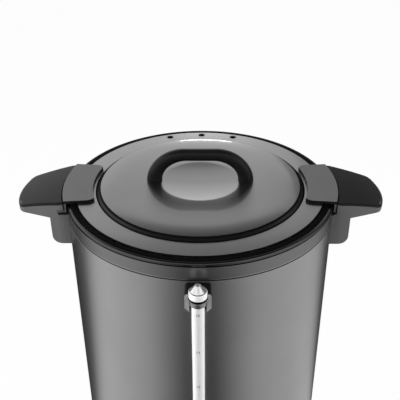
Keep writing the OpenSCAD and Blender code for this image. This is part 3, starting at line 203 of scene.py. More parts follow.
def add_piece(name, mesh, material, body, replaced=()):
    """Links a mesh that rides a body and stands for some CAD nodes."""
    piece = bpy.data.objects.new(name, mesh)
    bpy.context.scene.collection.objects.link(piece)
    if not mesh.materials:
        mesh.materials.append(material)
    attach(piece, body)
    if replaced:
        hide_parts(*replaced)
    return piece


SHARP = math.radians(30)
SHADE_SHARP = math.radians(35)
COPY_SHARP = math.radians(50)


def smooth(mesh, sharp=SHADE_SHARP):
    mesh.shade_smooth()
    mesh.set_sharp_from_angle(angle=sharp)


def mesh_of(name, bm):
    """Turns a bmesh into a mesh and frees it."""
    mesh = bpy.data.meshes.new(name)
    bm.to_mesh(mesh)
    bm.free()
    return mesh


def mesh_from(name, points, faces):
    mesh = bpy.data.meshes.new(name)
    mesh.from_pydata(points, [], faces)
    bm = bmesh.new()
    bm.from_mesh(mesh)
    bmesh.ops.remove_doubles(bm, verts=bm.verts, dist=1e-7)
    bmesh.ops.recalc_face_normals(bm, faces=bm.faces)
    bm.to_mesh(mesh)
    bm.free()
    smooth(mesh)
    return mesh


FILLET_STEPS = 6


def filleted(corners):
    """A closed outline from (x, y, radius) corners, with each corner rounded to its radius."""
    outline = []
    for i, (x, y, radius) in enumerate(corners):
        here = Vector((x, y))
        back = (Vector(corners[i - 1][:2]) - here).normalized()
        ahead = (Vector(corners[(i + 1) % len(corners)][:2]) - here).normalized()
        if radius <= 0:
            outline.append(here)
            continue
        half = back.angle(ahead) / 2
        middle = here + (back + ahead).normalized() * radius / math.sin(half)
        start = here + back * radius / math.tan(half) - middle
        end = here + ahead * radius / math.tan(half) - middle
        turn = math.atan2(start.x * end.y - start.y * end.x, start.dot(end))
        for k in range(FILLET_STEPS + 1):
            a = turn * k / FILLET_STEPS
            outline.append(middle + Vector((start.x * math.cos(a) - start.y * math.sin(a),
                                            start.x * math.sin(a) + start.y * math.cos(a))))
    return outline


def lathe_mesh(name, outline, segments=192, centre=(0, 0), wave=None):
    """Turns a closed outline of (r, z) round a vertical axis; wave changes the radius with the angle."""
    points = []
    faces = []
    count = len(outline)
    for s in range(segments):
        a = 2 * math.pi * s / segments
        for r, z in outline:
            radius = wave(r, z, a) if wave else r
            points.append((centre[0] + radius * math.cos(a), centre[1] + radius * math.sin(a), z))
    for s in range(segments):
        t = (s + 1) % segments
        for i in range(count):
            j = (i + 1) % count
            if outline[i][0] < 1e-9 and outline[j][0] < 1e-9:
                continue
            faces.append((s * count + i, t * count + i, t * count + j, s * count + j))
    bm = bmesh.new()
    verts = [bm.verts.new(p) for p in points]
    for face in faces:
        bm.faces.new([verts[k] for k in face])
    bmesh.ops.remove_doubles(bm, verts=bm.verts, dist=1e-7)
    bmesh.ops.dissolve_degenerate(bm, edges=bm.edges, dist=1e-8)
    bmesh.ops.recalc_face_normals(bm, faces=bm.faces)
    mesh = mesh_of(name, bm)
    smooth(mesh)
    return mesh


def round_edges(bm, width, segments, wanted, clamp=True):
    """Rounds the sharp edges of a mesh that are wanted."""
    paired = [e for e in bm.edges if len(e.link_faces) == 2]
    edges = [e for e in paired if e.calc_face_angle(0) > SHARP and wanted(e)]
    bmesh.ops.bevel(bm, geom=edges, offset=width, offset_type="OFFSET", segments=segments, profile=0.5,
                    clamp_overlap=clamp, affect="EDGES")


def on_brow(edge):
    """Whether an edge lies between a top and a side that looks away from the urn's axis."""
    top, side = sorted(edge.link_faces, key=lambda face: -face.normal.z)
    if top.normal.z < 0.6 or abs(side.normal.z) > 0.3:
        return False
    return side.normal.xy.dot(side.calc_center_median().xy.normalized()) > -0.5


EDGE_SEGMENTS = 3
BROW_SEGMENTS = 6


def rounded_copy(node, width, brow=0, split_z=None):
    """A CAD node's mesh with its sharp edges rounded, more so round its top, or split at a height."""
    bm = bmesh.new()
    bm.from_mesh(nodes[node].data)
    bmesh.ops.remove_doubles(bm, verts=bm.verts, dist=1e-6)
    bmesh.ops.dissolve_limit(bm, angle_limit=math.radians(0.3), verts=bm.verts, edges=bm.edges)
    if brow:
        round_edges(bm, brow, BROW_SEGMENTS, on_brow, clamp=False)
    round_edges(bm, width, EDGE_SEGMENTS, lambda edge: True)
    if split_z:
        whole = bm.verts[:] + bm.edges[:] + bm.faces[:]
        bmesh.ops.bisect_plane(bm, geom=whole, plane_co=(0, 0, split_z), plane_no=(0, 0, 1))
    bmesh.ops.recalc_face_normals(bm, faces=bm.faces)
    mesh = mesh_of(node + "_rounded", bm)
    smooth(mesh, COPY_SHARP)
    return mesh


def dress(node, width, material=None, **options):
    """Shows a CAD node with rounded edges."""
    mesh = rounded_copy(node, width, **options)
    finish = material or SLOT_MATERIALS[slot_of[node]]
    piece = add_piece(node + "_dressed", mesh, finish, body_of[node], (node,))
    even = piece.modifiers.new("even_shading", "WEIGHTED_NORMAL")
    even.keep_sharp = True
    return piece


def paint_faces(piece, material, test):
    """Gives another material to the faces that pass the test."""
    mesh = piece.data
    mesh.materials.append(material)
    for face in mesh.polygons:
        if test(face):
            face.material_index = len(mesh.materials) - 1


# Shell, collar and seal

shell_low, shell_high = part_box("outer_shell")
collar_low, collar_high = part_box("top_collar")
seal_low, seal_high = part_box("lid_seal")
lid_low, lid_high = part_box("lid_pan")
body_r = shell_high.y
seam_z = shell_high.z
SHEET = 1.0 * MM
SEAM_GAP = 1.1 * MM
RIM_H = 1.0 * MM
BEAD_H = 3.5 * MM
GROOVE = 1.0 * MM
GROOVE_DEPTH = 0.8 * MM
COLLAR_T = 2.8 * MM
NECK_IN = 1.3 * MM

shell_top = seam_z - SEAM_GAP
shell_outline = filleted([
    (body_r, shell_low.z, 0.5 * MM), (body_r, shell_top, 0.3 * MM),
    (body_r - SHEET, shell_top, 0), (body_r - SHEET, shell_low.z, 0)])
add_piece("outer_shell_sheet", lathe_mesh("outer_shell_sheet", shell_outline), paint, "urn",
          ("outer_shell",))

collar_in_r = body_r - COLLAR_T
neck_r = body_r - NECK_IN
groove_r = body_r - GROOVE_DEPTH
bead_z = collar_high.z - BEAD_H
groove_z = bead_z - GROOVE
collar_outline = filleted([
    (body_r, seam_z, 0.3 * MM), (body_r, seam_z + RIM_H, 0), (body_r, groove_z, 0.2 * MM),
    (groove_r, groove_z, 0), (groove_r, bead_z, 0), (body_r, bead_z, 0.5 * MM),
    (body_r, collar_high.z, 2.2 * MM), (collar_in_r, collar_high.z, 0.4 * MM),
    (collar_in_r, collar_low.z, 0), (neck_r, collar_low.z, 0), (neck_r, seam_z, 0)])
collar = add_piece("top_collar_ring", lathe_mesh("top_collar_ring", collar_outline), collar_shaded_paint, "urn",
                   ("top_collar",))
# Painted shade on the collar: a darker copy of the satin paint on its band, a near-black one on its bead,
# and the black of the rubber in the groove under the bead and on the neck inside the seam. Its lower rim
# keeps the shell's lighter paint, which shows as a light line above the seam.
paint_faces(collar, bead_shaded_paint, lambda face: face.center.z > bead_z + 0.05 * MM)
groove_reach = GROOVE / 2 + 0.02 * MM
paint_faces(collar, rubber, lambda face: abs(face.center.z - groove_z - GROOVE / 2) < groove_reach)
paint_faces(collar, paint, lambda face: abs(face.center.z - seam_z - RIM_H / 2) < RIM_H / 2)
paint_faces(collar, rubber, lambda face: face.center.z < seam_z - 0.01 * MM)

seal_in_r = lid_high.y + 0.3 * MM
LIP_W = 5 * MM
LIP_T = 1.7 * MM
lip_r = seal_in_r - LIP_W
lip_z = seal_low.z + LIP_T
seal_outline = filleted([
    (lip_r, seal_low.z, 0), (seal_high.y, seal_low.z, 0), (seal_high.y, seal_high.z, 1.4 * MM),
    (seal_in_r, seal_high.z, 1.2 * MM), (seal_in_r, lip_z, 0), (lip_r, lip_z, 0)])
add_piece("lid_seal_ring", lathe_mesh("lid_seal_ring", seal_outline), rubber, "lid_ring", ("lid_seal",))


# Lid

lid_r = lid_high.y
dome_z = lid_high.z
FLANGE_W = 21.4 * MM
STEP_W = 4.8 * MM
STEP_H = 3.7 * MM
CROWN_H = 1.5 * MM
RECESS_R = 42 * MM
RECESS_DEPTH = 3 * MM
ROLL_W = 28 * MM
BROW_SHARE = 0.35
FOOT_SHARE = 0.75
flange_z = dome_z - CROWN_H - STEP_H
step_r = lid_r - FLANGE_W
dome_r = step_r - STEP_W
dish_r = (RECESS_R ** 2 + RECESS_DEPTH ** 2) / (2 * RECESS_DEPTH)


def lid_outline():
    """Upper side of the lid from its middle outward, then its underside back to the middle."""
    upper = []
    for k in range(25):
        r = RECESS_R * k / 24
        upper.append(Vector((r, dome_z - RECESS_DEPTH + dish_r - math.sqrt(dish_r ** 2 - r ** 2))))
    upper.append(Vector((RECESS_R + 0.7 * MM, dome_z)))
    upper.append(Vector((dome_r - ROLL_W, dome_z)))
    for k in range(1, 13):
        t = 0.9 * k / 12
        upper.append(Vector((dome_r - ROLL_W * (1 - t), dome_z - CROWN_H * t ** 3)))
    brow = Vector((dome_r, dome_z - CROWN_H))
    foot = Vector((step_r, flange_z))
    upper += filleted([
        (*upper[-1], 0), (*brow, 1.2 * MM), (*brow.lerp(foot, BROW_SHARE), 0),
        (*brow.lerp(foot, FOOT_SHARE), 0), (*foot, 1.5 * MM), (lid_r, flange_z, 1.1 * MM),
        (lid_r, lid_low.z, 0)])[1:]
    under = [
        (lid_r - SHEET, lid_low.z), (lid_r - SHEET, flange_z - SHEET),
        (step_r - SHEET, flange_z - SHEET), (dome_r - SHEET, dome_z - CROWN_H - SHEET),
        (RECESS_R + 2 * SHEET, dome_z - SHEET)]
    under = [Vector(p) for p in under]
    for k in range(12, -1, -1):
        r = (RECESS_R + SHEET) * k / 12
        fall = dish_r + SHEET - math.sqrt((dish_r + SHEET) ** 2 - r ** 2)
        under.append(Vector((r, dome_z - RECESS_DEPTH - SHEET + fall)))
    return upper + under


def drilled(mesh, drills):
    """The mesh with round holes along z through it: (x, y, radius) each."""
    block = bpy.data.objects.new("drilled", mesh)
    bpy.context.scene.collection.objects.link(block)
    tools = bmesh.new()
    for x, y, radius in drills:
        bmesh.ops.create_cone(tools, cap_ends=True, segments=40, radius1=radius, radius2=radius,
                              depth=0.1, matrix=Matrix.Translation((x, y, flange_z)))
    tool = bpy.data.objects.new("drills", mesh_of("drills", tools))
    bpy.context.scene.collection.objects.link(tool)
    cut = block.modifiers.new("holes", "BOOLEAN")
    cut.operation = "DIFFERENCE"
    cut.solver = "EXACT"
    cut.object = tool
    result = bpy.data.meshes.new_from_object(block.evaluated_get(bpy.context.evaluated_depsgraph_get()))
    bpy.data.objects.remove(block)
    bpy.data.objects.remove(tool)
    smooth(result)
    return result


VENT_R = 3.75 * MM
VENT_STEP = math.radians(18)
VENT_INSET = 8 * MM
vent_circle = lid_r - VENT_INSET
vents = []
for turn in (-VENT_STEP, 0, VENT_STEP):
    vents.append((vent_circle * math.sin(turn), vent_circle * math.cos(turn), VENT_R))
lid_mesh = drilled(lathe_mesh("lid_sheet", lid_outline(), segments=256), vents)
lid_sheet = add_piece("lid_sheet", lid_mesh, paint, "lid", ("lid_pan",))


def on_top(face, low, high):
    """Whether a face of the lid's upper side lies between two radii."""
    return face.normal.z > 0.05 and low < face.center.xy.length < high


# Widths of the painted shadow lines on the lid: under the dome's edge, at the foot of the step and round
# the rim.
LINE_W = 0.5 * MM
FOOT_LINE_W = 0.4 * MM
RIM_LINE_W = 1.0 * MM
line_r = dome_r - LINE_W
brow_r = dome_r + STEP_W * BROW_SHARE
foot_r = dome_r + STEP_W * FOOT_SHARE
# Painted shade: the dome's top gets the darker copy of the satin paint.
paint_faces(lid_sheet, dome_shaded_paint, lambda face: on_top(face, 0, line_r))
# Painted shadow lines under the dome's edge, at the foot of the step and round the lid's rim, with
# painted shade on the step's wall between them.
paint_faces(lid_sheet, shadow_line_paint, lambda face: on_top(face, line_r, brow_r))
paint_faces(lid_sheet, step_shade_paint, lambda face: on_top(face, brow_r, foot_r))
paint_faces(lid_sheet, shadow_line_paint, lambda face: on_top(face, foot_r, step_r + FOOT_LINE_W))
paint_faces(lid_sheet, shadow_line_paint, lambda face: on_top(face, lid_r - RIM_LINE_W, lid_r))

# Lid handle: one moulded arch, wider at its feet

arch_low, arch_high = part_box("lid_handle")
ARCH_BEND = 33.5 * MM
ARCH_D = 12.6 * MM
ARCH_FOOT_W = 16.3 * MM
foot_x = arch_high.x - ARCH_FOOT_W / 2
arch_rise = arch_high.z - ARCH_D / 2 - arch_low.z


def arch_path(steps=28):
    """Middle, outward direction and share of the foot's width along the arch, in the plane y = 0."""
    path = []
    for side, start in ((1, 0), (-1, steps)):
        for k in range(start, start + steps + 1):
            a = math.pi / 2 * k / steps
            out = Vector((arch_rise * math.cos(a), ARCH_BEND * math.sin(a))).normalized()
            x = side * (foot_x - ARCH_BEND) + ARCH_BEND * math.cos(a)
            path.append((x, arch_rise * math.sin(a), out, abs(1 - k / steps)))
    return path


def arch_mesh(sides=32, power=2.2):
    """A rounded section swept along the arch."""
    points = []
    faces = []
    path = arch_path()
    for x, z, out, foot in path:
        half_n = (ARCH_D + (ARCH_FOOT_W - ARCH_D) * foot) / 2
        for k in range(sides):
            a = 2 * math.pi * k / sides
            c = math.copysign(abs(math.cos(a)) ** (2 / power), math.cos(a))
            s = math.copysign(abs(math.sin(a)) ** (2 / power), math.sin(a))
            points.append((x + out.x * half_n * c, ARCH_D / 2 * s, arch_low.z + z + out.y * half_n * c))
    for i in range(len(path) - 1):
        for k in range(sides):
            m = (k + 1) % sides
            faces.append((i * sides + k, i * sides + m, (i + 1) * sides + m, (i + 1) * sides + k))
    faces.append(tuple(range(sides)))
    faces.append(tuple(range((len(path) - 1) * sides, len(path) * sides)))
    return mesh_from("lid_arch", points, faces)


add_piece("lid_arch", arch_mesh(), arch_plastic, "lid", ("lid_handle",))

# Ears and side handles

EAR_ROUND = 0.5 * MM
EAR_LIT_TOP = 0.97
EAR_LIT_FRONT = -0.7
GRIP_ROUND = 0.8 * MM
GRIP_BROW = 2.6 * MM
GRIP_SHADE_TOP = 0.3
for side in ("left", "right"):
    ear = dress("lid_ear_" + side, EAR_ROUND, black_plastic_and_shade, split_z=flange_z)
    # Painted shade on the ears: walls and edge rounds stay near-black, while flat tops and the fronts of
    # the lower part get the lit grey copy.
    paint_faces(ear, ear_lit_plastic, lambda face: face.normal.z > EAR_LIT_TOP)
    paint_faces(ear, ear_lit_plastic, lambda face: face.normal.y < EAR_LIT_FRONT and face.center.z < flange_z)
    grip = dress(side + "_handle", GRIP_ROUND, brow=GRIP_BROW)
    # Painted shade: the grips' tops get the near-black copy of the handles' plastic.
    paint_faces(grip, shaded_top_plastic, lambda face: face.normal.z > GRIP_SHADE_TOP)


# Sight gauge

def turned(name, corners, material, node, segments=64):
    """A turned piece on the gauge's axis, in place of a CAD node."""
    mesh = lathe_mesh(name, filleted(corners), segments, (0, gauge_y))
    return add_piece(name, mesh, material, "urn", (node,))


cap_low, cap_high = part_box("gauge_cap")
ferrule_low, ferrule_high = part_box("gauge_ferrule")
ring_low, ring_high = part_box("gauge_cap_seal")
tube_low, tube_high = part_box("gauge_tube")
gauge_y = (cap_low.y + cap_high.y) / 2
cap_r = cap_high.x
tube_r = tube_high.x
TUBE_BORE_R = 4 * MM
CAP_CONE_H = 6 * MM
CAP_TIP_R = 2.5 * MM
CAP_VENT_R = 1.0 * MM
CAP_LEDGE = 1.1 * MM
shoulder_z = cap_high.z - CAP_CONE_H
cap = turned("gauge_cap_turned", [
    (tube_r, cap_low.z, 0), (cap_r, cap_low.z, 0.8 * MM), (cap_r, shoulder_z, 1.2 * MM),
    (cap_r - CAP_LEDGE, shoulder_z + 0.1 * MM, 0.3 * MM), (CAP_TIP_R, cap_high.z, 0.5 * MM),
    (CAP_VENT_R, cap_high.z, 0.3 * MM), (CAP_VENT_R, tube_high.z, 0),
    (tube_r, tube_high.z, 0)], chrome, "gauge_cap")
paint_faces(cap, cap_white, lambda face: face.center.z < shoulder_z - 0.3 * MM)
turned("gauge_cap_ring", [
    (tube_r, ring_low.z, 0), (ring_high.x, ring_low.z, 0.5 * MM), (ring_high.x, ring_high.z, 0.5 * MM),
    (tube_r, ring_high.z, 0)], rubber, "gauge_cap_seal")
turned("gauge_ferrule_turned", [
    (tube_r, ferrule_low.z, 0), (ferrule_high.x, ferrule_low.z, 0.6 * MM),
    (ferrule_high.x, ferrule_high.z, 0.6 * MM), (tube_r, ferrule_high.z, 0)], ferrule_metal,
    "gauge_ferrule")
turned("gauge_tube_turned", [
    (TUBE_BORE_R, tube_low.z, 0), (tube_r, tube_low.z, 0.4 * MM), (tube_r, tube_high.z, 0.4 * MM),
    (TUBE_BORE_R, tube_high.z, 0)], glass, "gauge_tube")
bracket = dress("gauge_bracket", 0.8 * MM, black_plastic_and_shade)
paint_faces(bracket, cheek_grey, lambda face: face.normal.y < -0.75)

# Level marks on the glass: a short dash every two litres, with a plain number above it

MARK_PITCH = 44 * MM
MARK_TOP = 25 * MM
MARK_COUNT = 8
MARK_T = 0.06 * MM
LITRES_PER_MARK = 2
NUMBER_H = 3.0 * MM
NUMBER_RISE = 2.6 * MM
NUMBER_SHIFT = -0.4 * MM


def text_mesh(text, height):
    """Flat figures in the plane x, z, centred on the origin."""
    curve = bpy.data.curves.new("text", "FONT")
    curve.body = text
    curve.size = height * 1.4
    curve.align_x = "CENTER"
    curve.align_y = "CENTER"
    curve.extrude = MARK_T
    holder = bpy.data.objects.new("text", curve)
    bpy.context.scene.collection.objects.link(holder)
    mesh = bpy.data.meshes.new_from_object(holder.evaluated_get(bpy.context.evaluated_depsgraph_get()))
    bpy.data.objects.remove(holder)
    mesh.transform(Matrix.Rotation(math.pi / 2, 4, "X"))
    return mesh


def add_box(bm, x0, x1, y0, y1, z0, z1):
    corners = [bm.verts.new((x, y, z)) for x in (x0, x1) for y in (y0, y1) for z in (z0, z1)]
    for face in ((0, 1, 3, 2), (4, 6, 7, 5), (0, 4, 5, 1), (2, 3, 7, 6), (0, 2, 6, 4), (1, 5, 7, 3)):
        bm.faces.new([corners[k] for k in face])


def gauge_marks():
    bm = bmesh.new()
    for k in range(MARK_COUNT):
        z = seam_z - MARK_TOP - MARK_PITCH * k
        add_box(bm, -2.2 * MM, 1.0 * MM, -MARK_T, MARK_T, z - 0.25 * MM, z + 0.25 * MM)
        number = text_mesh(str(LITRES_PER_MARK * (MARK_COUNT - k)), NUMBER_H)
        number.transform(Matrix.Translation((NUMBER_SHIFT, 0, z + NUMBER_RISE)))
        bm.from_mesh(number)
    for v in bm.verts:
        a = v.co.x / tube_r
        r = tube_r + 0.01 * MM - v.co.y
        v.co.x = r * math.sin(a)
        v.co.y = gauge_y - r * math.cos(a)
    return mesh_of("gauge_marks", bm)


add_piece("gauge_marks", gauge_marks(), grey_ink, "urn")

# Tap, base and controls

for node, width in (
        ("tap_body", 0.8), ("tap_bonnet", 1.0), ("tap_lever", 1.8), ("gauge_nut", 0.5), ("tap_nut", 0.6),
        ("tap_stem", 0.3), ("lever_pin", 0.3), ("tap_washer", 0.4), ("feet", 1.2), ("base_skirt", 1.2),
        ("control_panel", 1.5), ("power_switch", 0.6), ("rocker", 0.7), ("power_inlet", 0.6),
        ("inlet_pins", 0.4), ("inlet_screws", 0.5), ("shell_screws", 0.6), ("foot_screws", 0.5),
        ("reset_button", 0.5)):
    dress(node, width * MM)

spring_low, spring_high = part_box("tap_spring")
COIL_TURNS = 6
COIL_STEPS = 40
WIRE_SIDES = 14
WIRE_R = 0.6 * MM


def coil_mesh(low, high):
    """A closed helical wire that fills the box of the spring."""
    middle = (low + high) / 2
    radius = (high.x - low.x) / 2 - WIRE_R
    rise = high.z - low.z - 2 * WIRE_R
    count = COIL_TURNS * COIL_STEPS
    points = []
    for i in range(count + 1):
        a = 2 * math.pi * i / COIL_STEPS
        for k in range(WIRE_SIDES):
            u = 2 * math.pi * k / WIRE_SIDES
            r = radius + WIRE_R * math.cos(u)
            z = low.z + WIRE_R + rise * i / count + WIRE_R * math.sin(u)
            points.append((middle.x + r * math.cos(a), middle.y + r * math.sin(a), z))
    faces = [tuple(range(WIRE_SIDES)), tuple(range(count * WIRE_SIDES, (count + 1) * WIRE_SIDES))]
    for i in range(count):
        for k in range(WIRE_SIDES):
            n = (k + 1) % WIRE_SIDES
            here, ahead = i * WIRE_SIDES, (i + 1) * WIRE_SIDES
            faces.append((here + k, here + n, ahead + n, ahead + k))
    return mesh_from("tap_spring_coil", points, faces)


coil = add_piece("tap_spring_coil", coil_mesh(spring_low, spring_high),
                 SLOT_MATERIALS[slot_of["tap_spring"]], body_of["tap_spring"], ("tap_spring",))
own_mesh(coil)

knob_low, knob_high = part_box("thermostat_knob")
knob_z = (knob_low.z + knob_high.z) / 2
KNOB_R = 17 * MM
KNOB_RING_T = 3 * MM
FLUTES = 18
FLUTE_DEPTH = 0.9 * MM


def fluted(r, z, a):
    """Finger grooves round the knob's grip, none on its ring or its face."""
    if r < KNOB_R - 2 * MM or z < KNOB_RING_T + 1.2 * MM or r > KNOB_R + 0.1 * MM:
        return r
    return r - FLUTE_DEPTH * (0.5 - 0.5 * math.cos(FLUTES * a)) ** 2


knob_h = knob_high.y - knob_low.y
knob_outline = filleted([
    (0, 0, 0), (knob_high.x, 0, 0.4 * MM), (knob_high.x, KNOB_RING_T, 1.0 * MM),
    (KNOB_R, KNOB_RING_T + 1 * MM, 0.8 * MM), (KNOB_R, 9 * MM, 0), (KNOB_R, knob_h, 2.2 * MM),
    (0, knob_h - 0.4 * MM, 0)])
knob_mesh = lathe_mesh("thermostat_knob_fluted", knob_outline, 216, (0, 0), fluted)
knob_mesh.transform(Matrix.Translation((0, knob_high.y, knob_z)) @ Matrix.Rotation(math.pi / 2, 4, "X"))
add_piece("thermostat_knob_fluted", knob_mesh, arch_plastic, "dial", ("thermostat_knob",))

# White pointer on the knob, with ticks and plain numbers round it

DIAL_START = math.radians(225)
DIAL_SWEEP = math.radians(270)
TICKS_PER_NUMBER = 4
TICK_R = 22 * MM
TICK_END = 23.2 * MM
LONG_TICK_END = 24 * MM
DIAL_NUMBERS = ("30", "50", "70", "90", "110")
NUMBER_RING_R = 26.6 * MM
panel_face_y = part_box("control_panel")[0].y


def pointer_mesh():
    bm = bmesh.new()
    add_box(bm, -0.7 * MM, 0.7 * MM, -0.15 * MM, 0.15 * MM, 6 * MM, KNOB_R - 2.6 * MM)
    bm.transform(Matrix.Rotation(DIAL_START - math.pi / 2, 4, (0, -1, 0)))
    bm.transform(Matrix.Translation((0, knob_low.y + 0.1 * MM, knob_z)))
    return mesh_of("dial_pointer", bm)


def dial_mesh():
    bm = bmesh.new()
    steps = TICKS_PER_NUMBER * (len(DIAL_NUMBERS) - 1)
    for k in range(steps + 1):
        a = DIAL_START - DIAL_SWEEP * k / steps
        tick = bmesh.new()
        long = k % TICKS_PER_NUMBER == 0
        add_box(tick, -0.35 * MM, 0.35 * MM, -MARK_T, MARK_T, TICK_R, LONG_TICK_END if long else TICK_END)
        tick.transform(Matrix.Rotation(a - math.pi / 2, 4, (0, -1, 0)))
        bm.from_mesh(mesh_of("tick", tick))
        if long:
            number = text_mesh(DIAL_NUMBERS[k // TICKS_PER_NUMBER], 2.6 * MM)
            place = NUMBER_RING_R * Vector((math.cos(a), 0, math.sin(a)))
            number.transform(Matrix.Translation(place))
            bm.from_mesh(number)
    bm.transform(Matrix.Translation((0, panel_face_y, knob_z)))
    return mesh_of("dial_marks", bm)


add_piece("dial_pointer", pointer_mesh(), white_ink, "dial")
add_piece("dial_marks", dial_mesh(), white_ink, "urn")


# Stage

def white_to_camera(tree, shaded, white):
    """Shows white to the camera and in metal and glass, and the shaded closure to all other rays."""
    path = tree.nodes.new("ShaderNodeLightPath")
    seen = path.outputs["Is Camera Ray"]
    for ray in ("Is Glossy Ray", "Is Transmission Ray"):
        either = tree.nodes.new("ShaderNodeMath")
        either.operation = "MAXIMUM"
        tree.links.new(seen, either.inputs[0])
        tree.links.new(path.outputs[ray], either.inputs[1])
        seen = either.outputs["Value"]
    mix = tree.nodes.new("ShaderNodeMixShader")
    tree.links.new(seen, mix.inputs["Fac"])
    tree.links.new(shaded, mix.inputs[1])
    tree.links.new(white, mix.inputs[2])
    return mix.outputs["Shader"]


def empty_material(name):
    material = bpy.data.materials.new(name)
    material.use_nodes = True
    material.node_tree.nodes.clear()
    return material, material.node_tree, material.node_tree.nodes.new("ShaderNodeOutputMaterial")


def floor_material():
    """A floor that looks white, with a little of its own shading left for the shadow."""
    material, tree, output = empty_material("floor_white")
    plain = tree.nodes.new("ShaderNodeBsdfDiffuse")
    plain.inputs["Color"].default_value = grey(0.8)
    white = tree.nodes.new("ShaderNodeEmission")
    tinted = tree.nodes.new("ShaderNodeMixShader")
    tinted.inputs["Fac"].default_value = SHADOW_SHARE
    tree.links.new(white.outputs["Emission"], tinted.inputs[1])
    tree.links.new(plain.outputs["BSDF"], tinted.inputs[2])
    surface = white_to_camera(tree, plain.outputs["BSDF"], tinted.outputs["Shader"])
    tree.links.new(surface, output.inputs["Surface"])
    return material


def card_material(name, shape, stops):
    """A dark card whose cover goes through (place, cover) stops, from its middle or once round it."""
    material, tree, output = empty_material(name)
    coord = tree.nodes.new("ShaderNodeTexCoord")
    if shape == "ROUND":
        measure = tree.nodes.new("ShaderNodeVectorMath")
        measure.operation = "LENGTH"
        place = measure.outputs["Value"]
    else:
        measure = tree.nodes.new("ShaderNodeTexGradient")
        measure.gradient_type = shape
        place = measure.outputs["Fac"]
    fade = tree.nodes.new("ShaderNodeValToRGB")
    while len(fade.color_ramp.elements) < len(stops):
        fade.color_ramp.elements.new(0.5)
    for element, (where, cover) in zip(fade.color_ramp.elements, stops):
        element.position = where
        element.color = grey(cover)
    clear = tree.nodes.new("ShaderNodeBsdfTransparent")
    dark = tree.nodes.new("ShaderNodeEmission")
    dark.inputs["Color"].default_value = grey(0.02)
    mix = tree.nodes.new("ShaderNodeMixShader")
    tree.links.new(coord.outputs["Object"], measure.inputs[0])
    tree.links.new(place, fade.inputs["Fac"])
    tree.links.new(fade.outputs["Color"], mix.inputs["Fac"])
    tree.links.new(clear.outputs["BSDF"], mix.inputs[1])
    tree.links.new(dark.outputs["Emission"], mix.inputs[2])
    tree.links.new(mix.outputs["Shader"], output.inputs["Surface"])
    return material


def add_plane(name, place, width, length, material):
    bm = bmesh.new()
    bmesh.ops.create_grid(bm, x_segments=1, y_segments=1, size=0.5)
    bmesh.ops.scale(bm, vec=(width, length, 1), verts=bm.verts)
    mesh = mesh_of(name, bm)
    mesh.materials.append(material)
    plane = bpy.data.objects.new(name, mesh)
    plane.location = place
    bpy.context.scene.collection.objects.link(plane)
    return plane


def add_card(name, place, turn, width, length, shape, stops):
    """A dark card that only reflections show: it blocks no light and the camera looks through it."""
    card = add_plane(name, place, 1.0, 1.0, card_material(name, shape, stops))
    card.scale = (width, length, 1)
    card.rotation_euler = turn
    card.visible_camera = False
    card.visible_diffuse = False
    card.visible_shadow = False


def add_softbox(name, place, target, width, height, power):
    lamp = bpy.data.lights.new(name, "AREA")
    lamp.shape = "RECTANGLE"
    lamp.size = width
    lamp.size_y = height
    lamp.energy = power
    holder = bpy.data.objects.new(name, lamp)
    holder.location = place
    holder.rotation_euler = (Vector(target) - Vector(place)).to_track_quat("-Z", "Y").to_euler()
    holder.visible_camera = False
    bpy.context.scene.collection.objects.link(holder)
    return holder


def add_world():
    world = bpy.data.worlds.new("studio")
    bpy.context.scene.world = world
    world.use_nodes = True
    tree = world.node_tree
    tree.nodes.clear()
    output = tree.nodes.new("ShaderNodeOutputWorld")
    room = tree.nodes.new("ShaderNodeBackground")
    room.inputs["Color"].default_value = grey(ROOM_LEVEL)
    white = tree.nodes.new("ShaderNodeBackground")
    white.inputs["Color"].default_value = grey(1.0)
    surface = white_to_camera(tree, room.outputs["Background"], white.outputs["Background"])
    tree.links.new(surface, output.inputs["Surface"])


CAMERA_LENS = 59.59
CAMERA_SHIFT = -0.00075
CAMERA_TURN = math.radians(1.0)
CAMERA_PITCH = math.radians(59.30)
CAMERA_ROLL = math.radians(-0.42)
CAMERA_BACK = 0.6119
CAMERA_RISE = 0.364


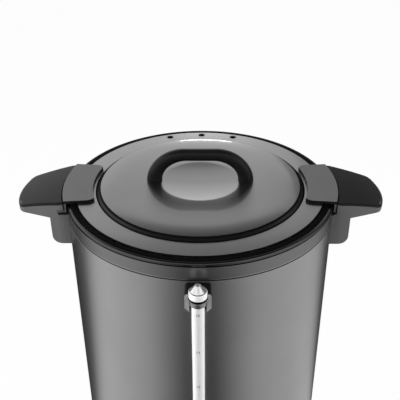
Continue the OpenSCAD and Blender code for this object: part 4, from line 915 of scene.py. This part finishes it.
def add_camera():
    """The photograph's view, solved from the ellipses of the lid and the collar."""
    camera = bpy.data.cameras.new("camera")
    camera.sensor_width = 36.0
    camera.lens = CAMERA_LENS
    camera.shift_x = CAMERA_SHIFT
    holder = bpy.data.objects.new("camera", camera)
    turn = Matrix.Rotation(CAMERA_TURN, 4, "Z")
    pitch = Matrix.Rotation(CAMERA_PITCH, 4, "X")
    roll = Matrix.Rotation(CAMERA_ROLL, 4, "Z")
    holder.location = turn @ Vector((0, -CAMERA_BACK, seam_z + CAMERA_RISE))
    holder.rotation_euler = (turn @ pitch @ roll).to_euler()
    bpy.context.scene.collection.objects.link(holder)
    bpy.context.scene.camera = holder


SHADOW_SHARE = 0.03
ROOM_LEVEL = 0.35
FLOOR_SIZE = 12.0
add_plane("floor", (0, 0, 0), FLOOR_SIZE, FLOOR_SIZE, floor_material())
# Cover of each card at places once round it, or from its middle out

FLOOR_COVER = (
    (0.03, 0.0), (0.14, 0.3), (0.23, 1.0), (0.28, 0.95), (0.34, 0.5), (0.38, 0.3), (0.46, 0.2),
    (0.51, 0.05), (0.55, 0.15), (0.6, 1.0), (0.95, 1.0), (1.0, 0.0))
CEILING_COVER = (
    (0.0, 0.97), (0.1, 0.95), (0.16, 0.94), (0.25, 0.9), (0.285, 0.74),
    (0.305, 0.25), (0.325, 0.0), (0.375, 0.0), (0.42, 0.3), (0.46, 0.2), (0.5, 0.0))
SIDE_COVER = ((0.0, 0.9), (0.4, 0.8), (0.5, 0.0))
add_card("floor_card", (0, 0, 0.003), (0, 0, 0), 3.2, 3.2, "RADIAL", FLOOR_COVER)
add_card("ceiling_card", (0.12, 0, 1.5), (0, 0, 0), 4.1, 4.1, "ROUND", CEILING_COVER)
add_card("right_card", (1.3, 0.6, 0.7), (0, math.pi / 2, 0), 1.4, 2.0, "ROUND", SIDE_COVER)
add_card("right_rear_card", (0.95, 1.75, 1.2), (math.pi / 2, 0, -0.5), 1.2, 1.4, "ROUND", SIDE_COVER)
add_card("front_card", (0, -1.9, 0.6), (math.pi / 2, 0, 0), 2.6, 1.5, "ROUND", SIDE_COVER)
add_world()
for side, power in ((-1, 20), (1, 13)):
    softbox = add_softbox("softbox", (1.2 * side, -0.3, 0.9), (0, 0, 0.4), 1.0, 1.0, power)
    softbox.visible_glossy = False
add_softbox("rear_strip", (0, 2.0, 0.9), (0, 0.1, 0.5), 0.3, 0.14, 1.0)
add_camera()
bpy.context.scene.view_settings.view_transform = "Standard"
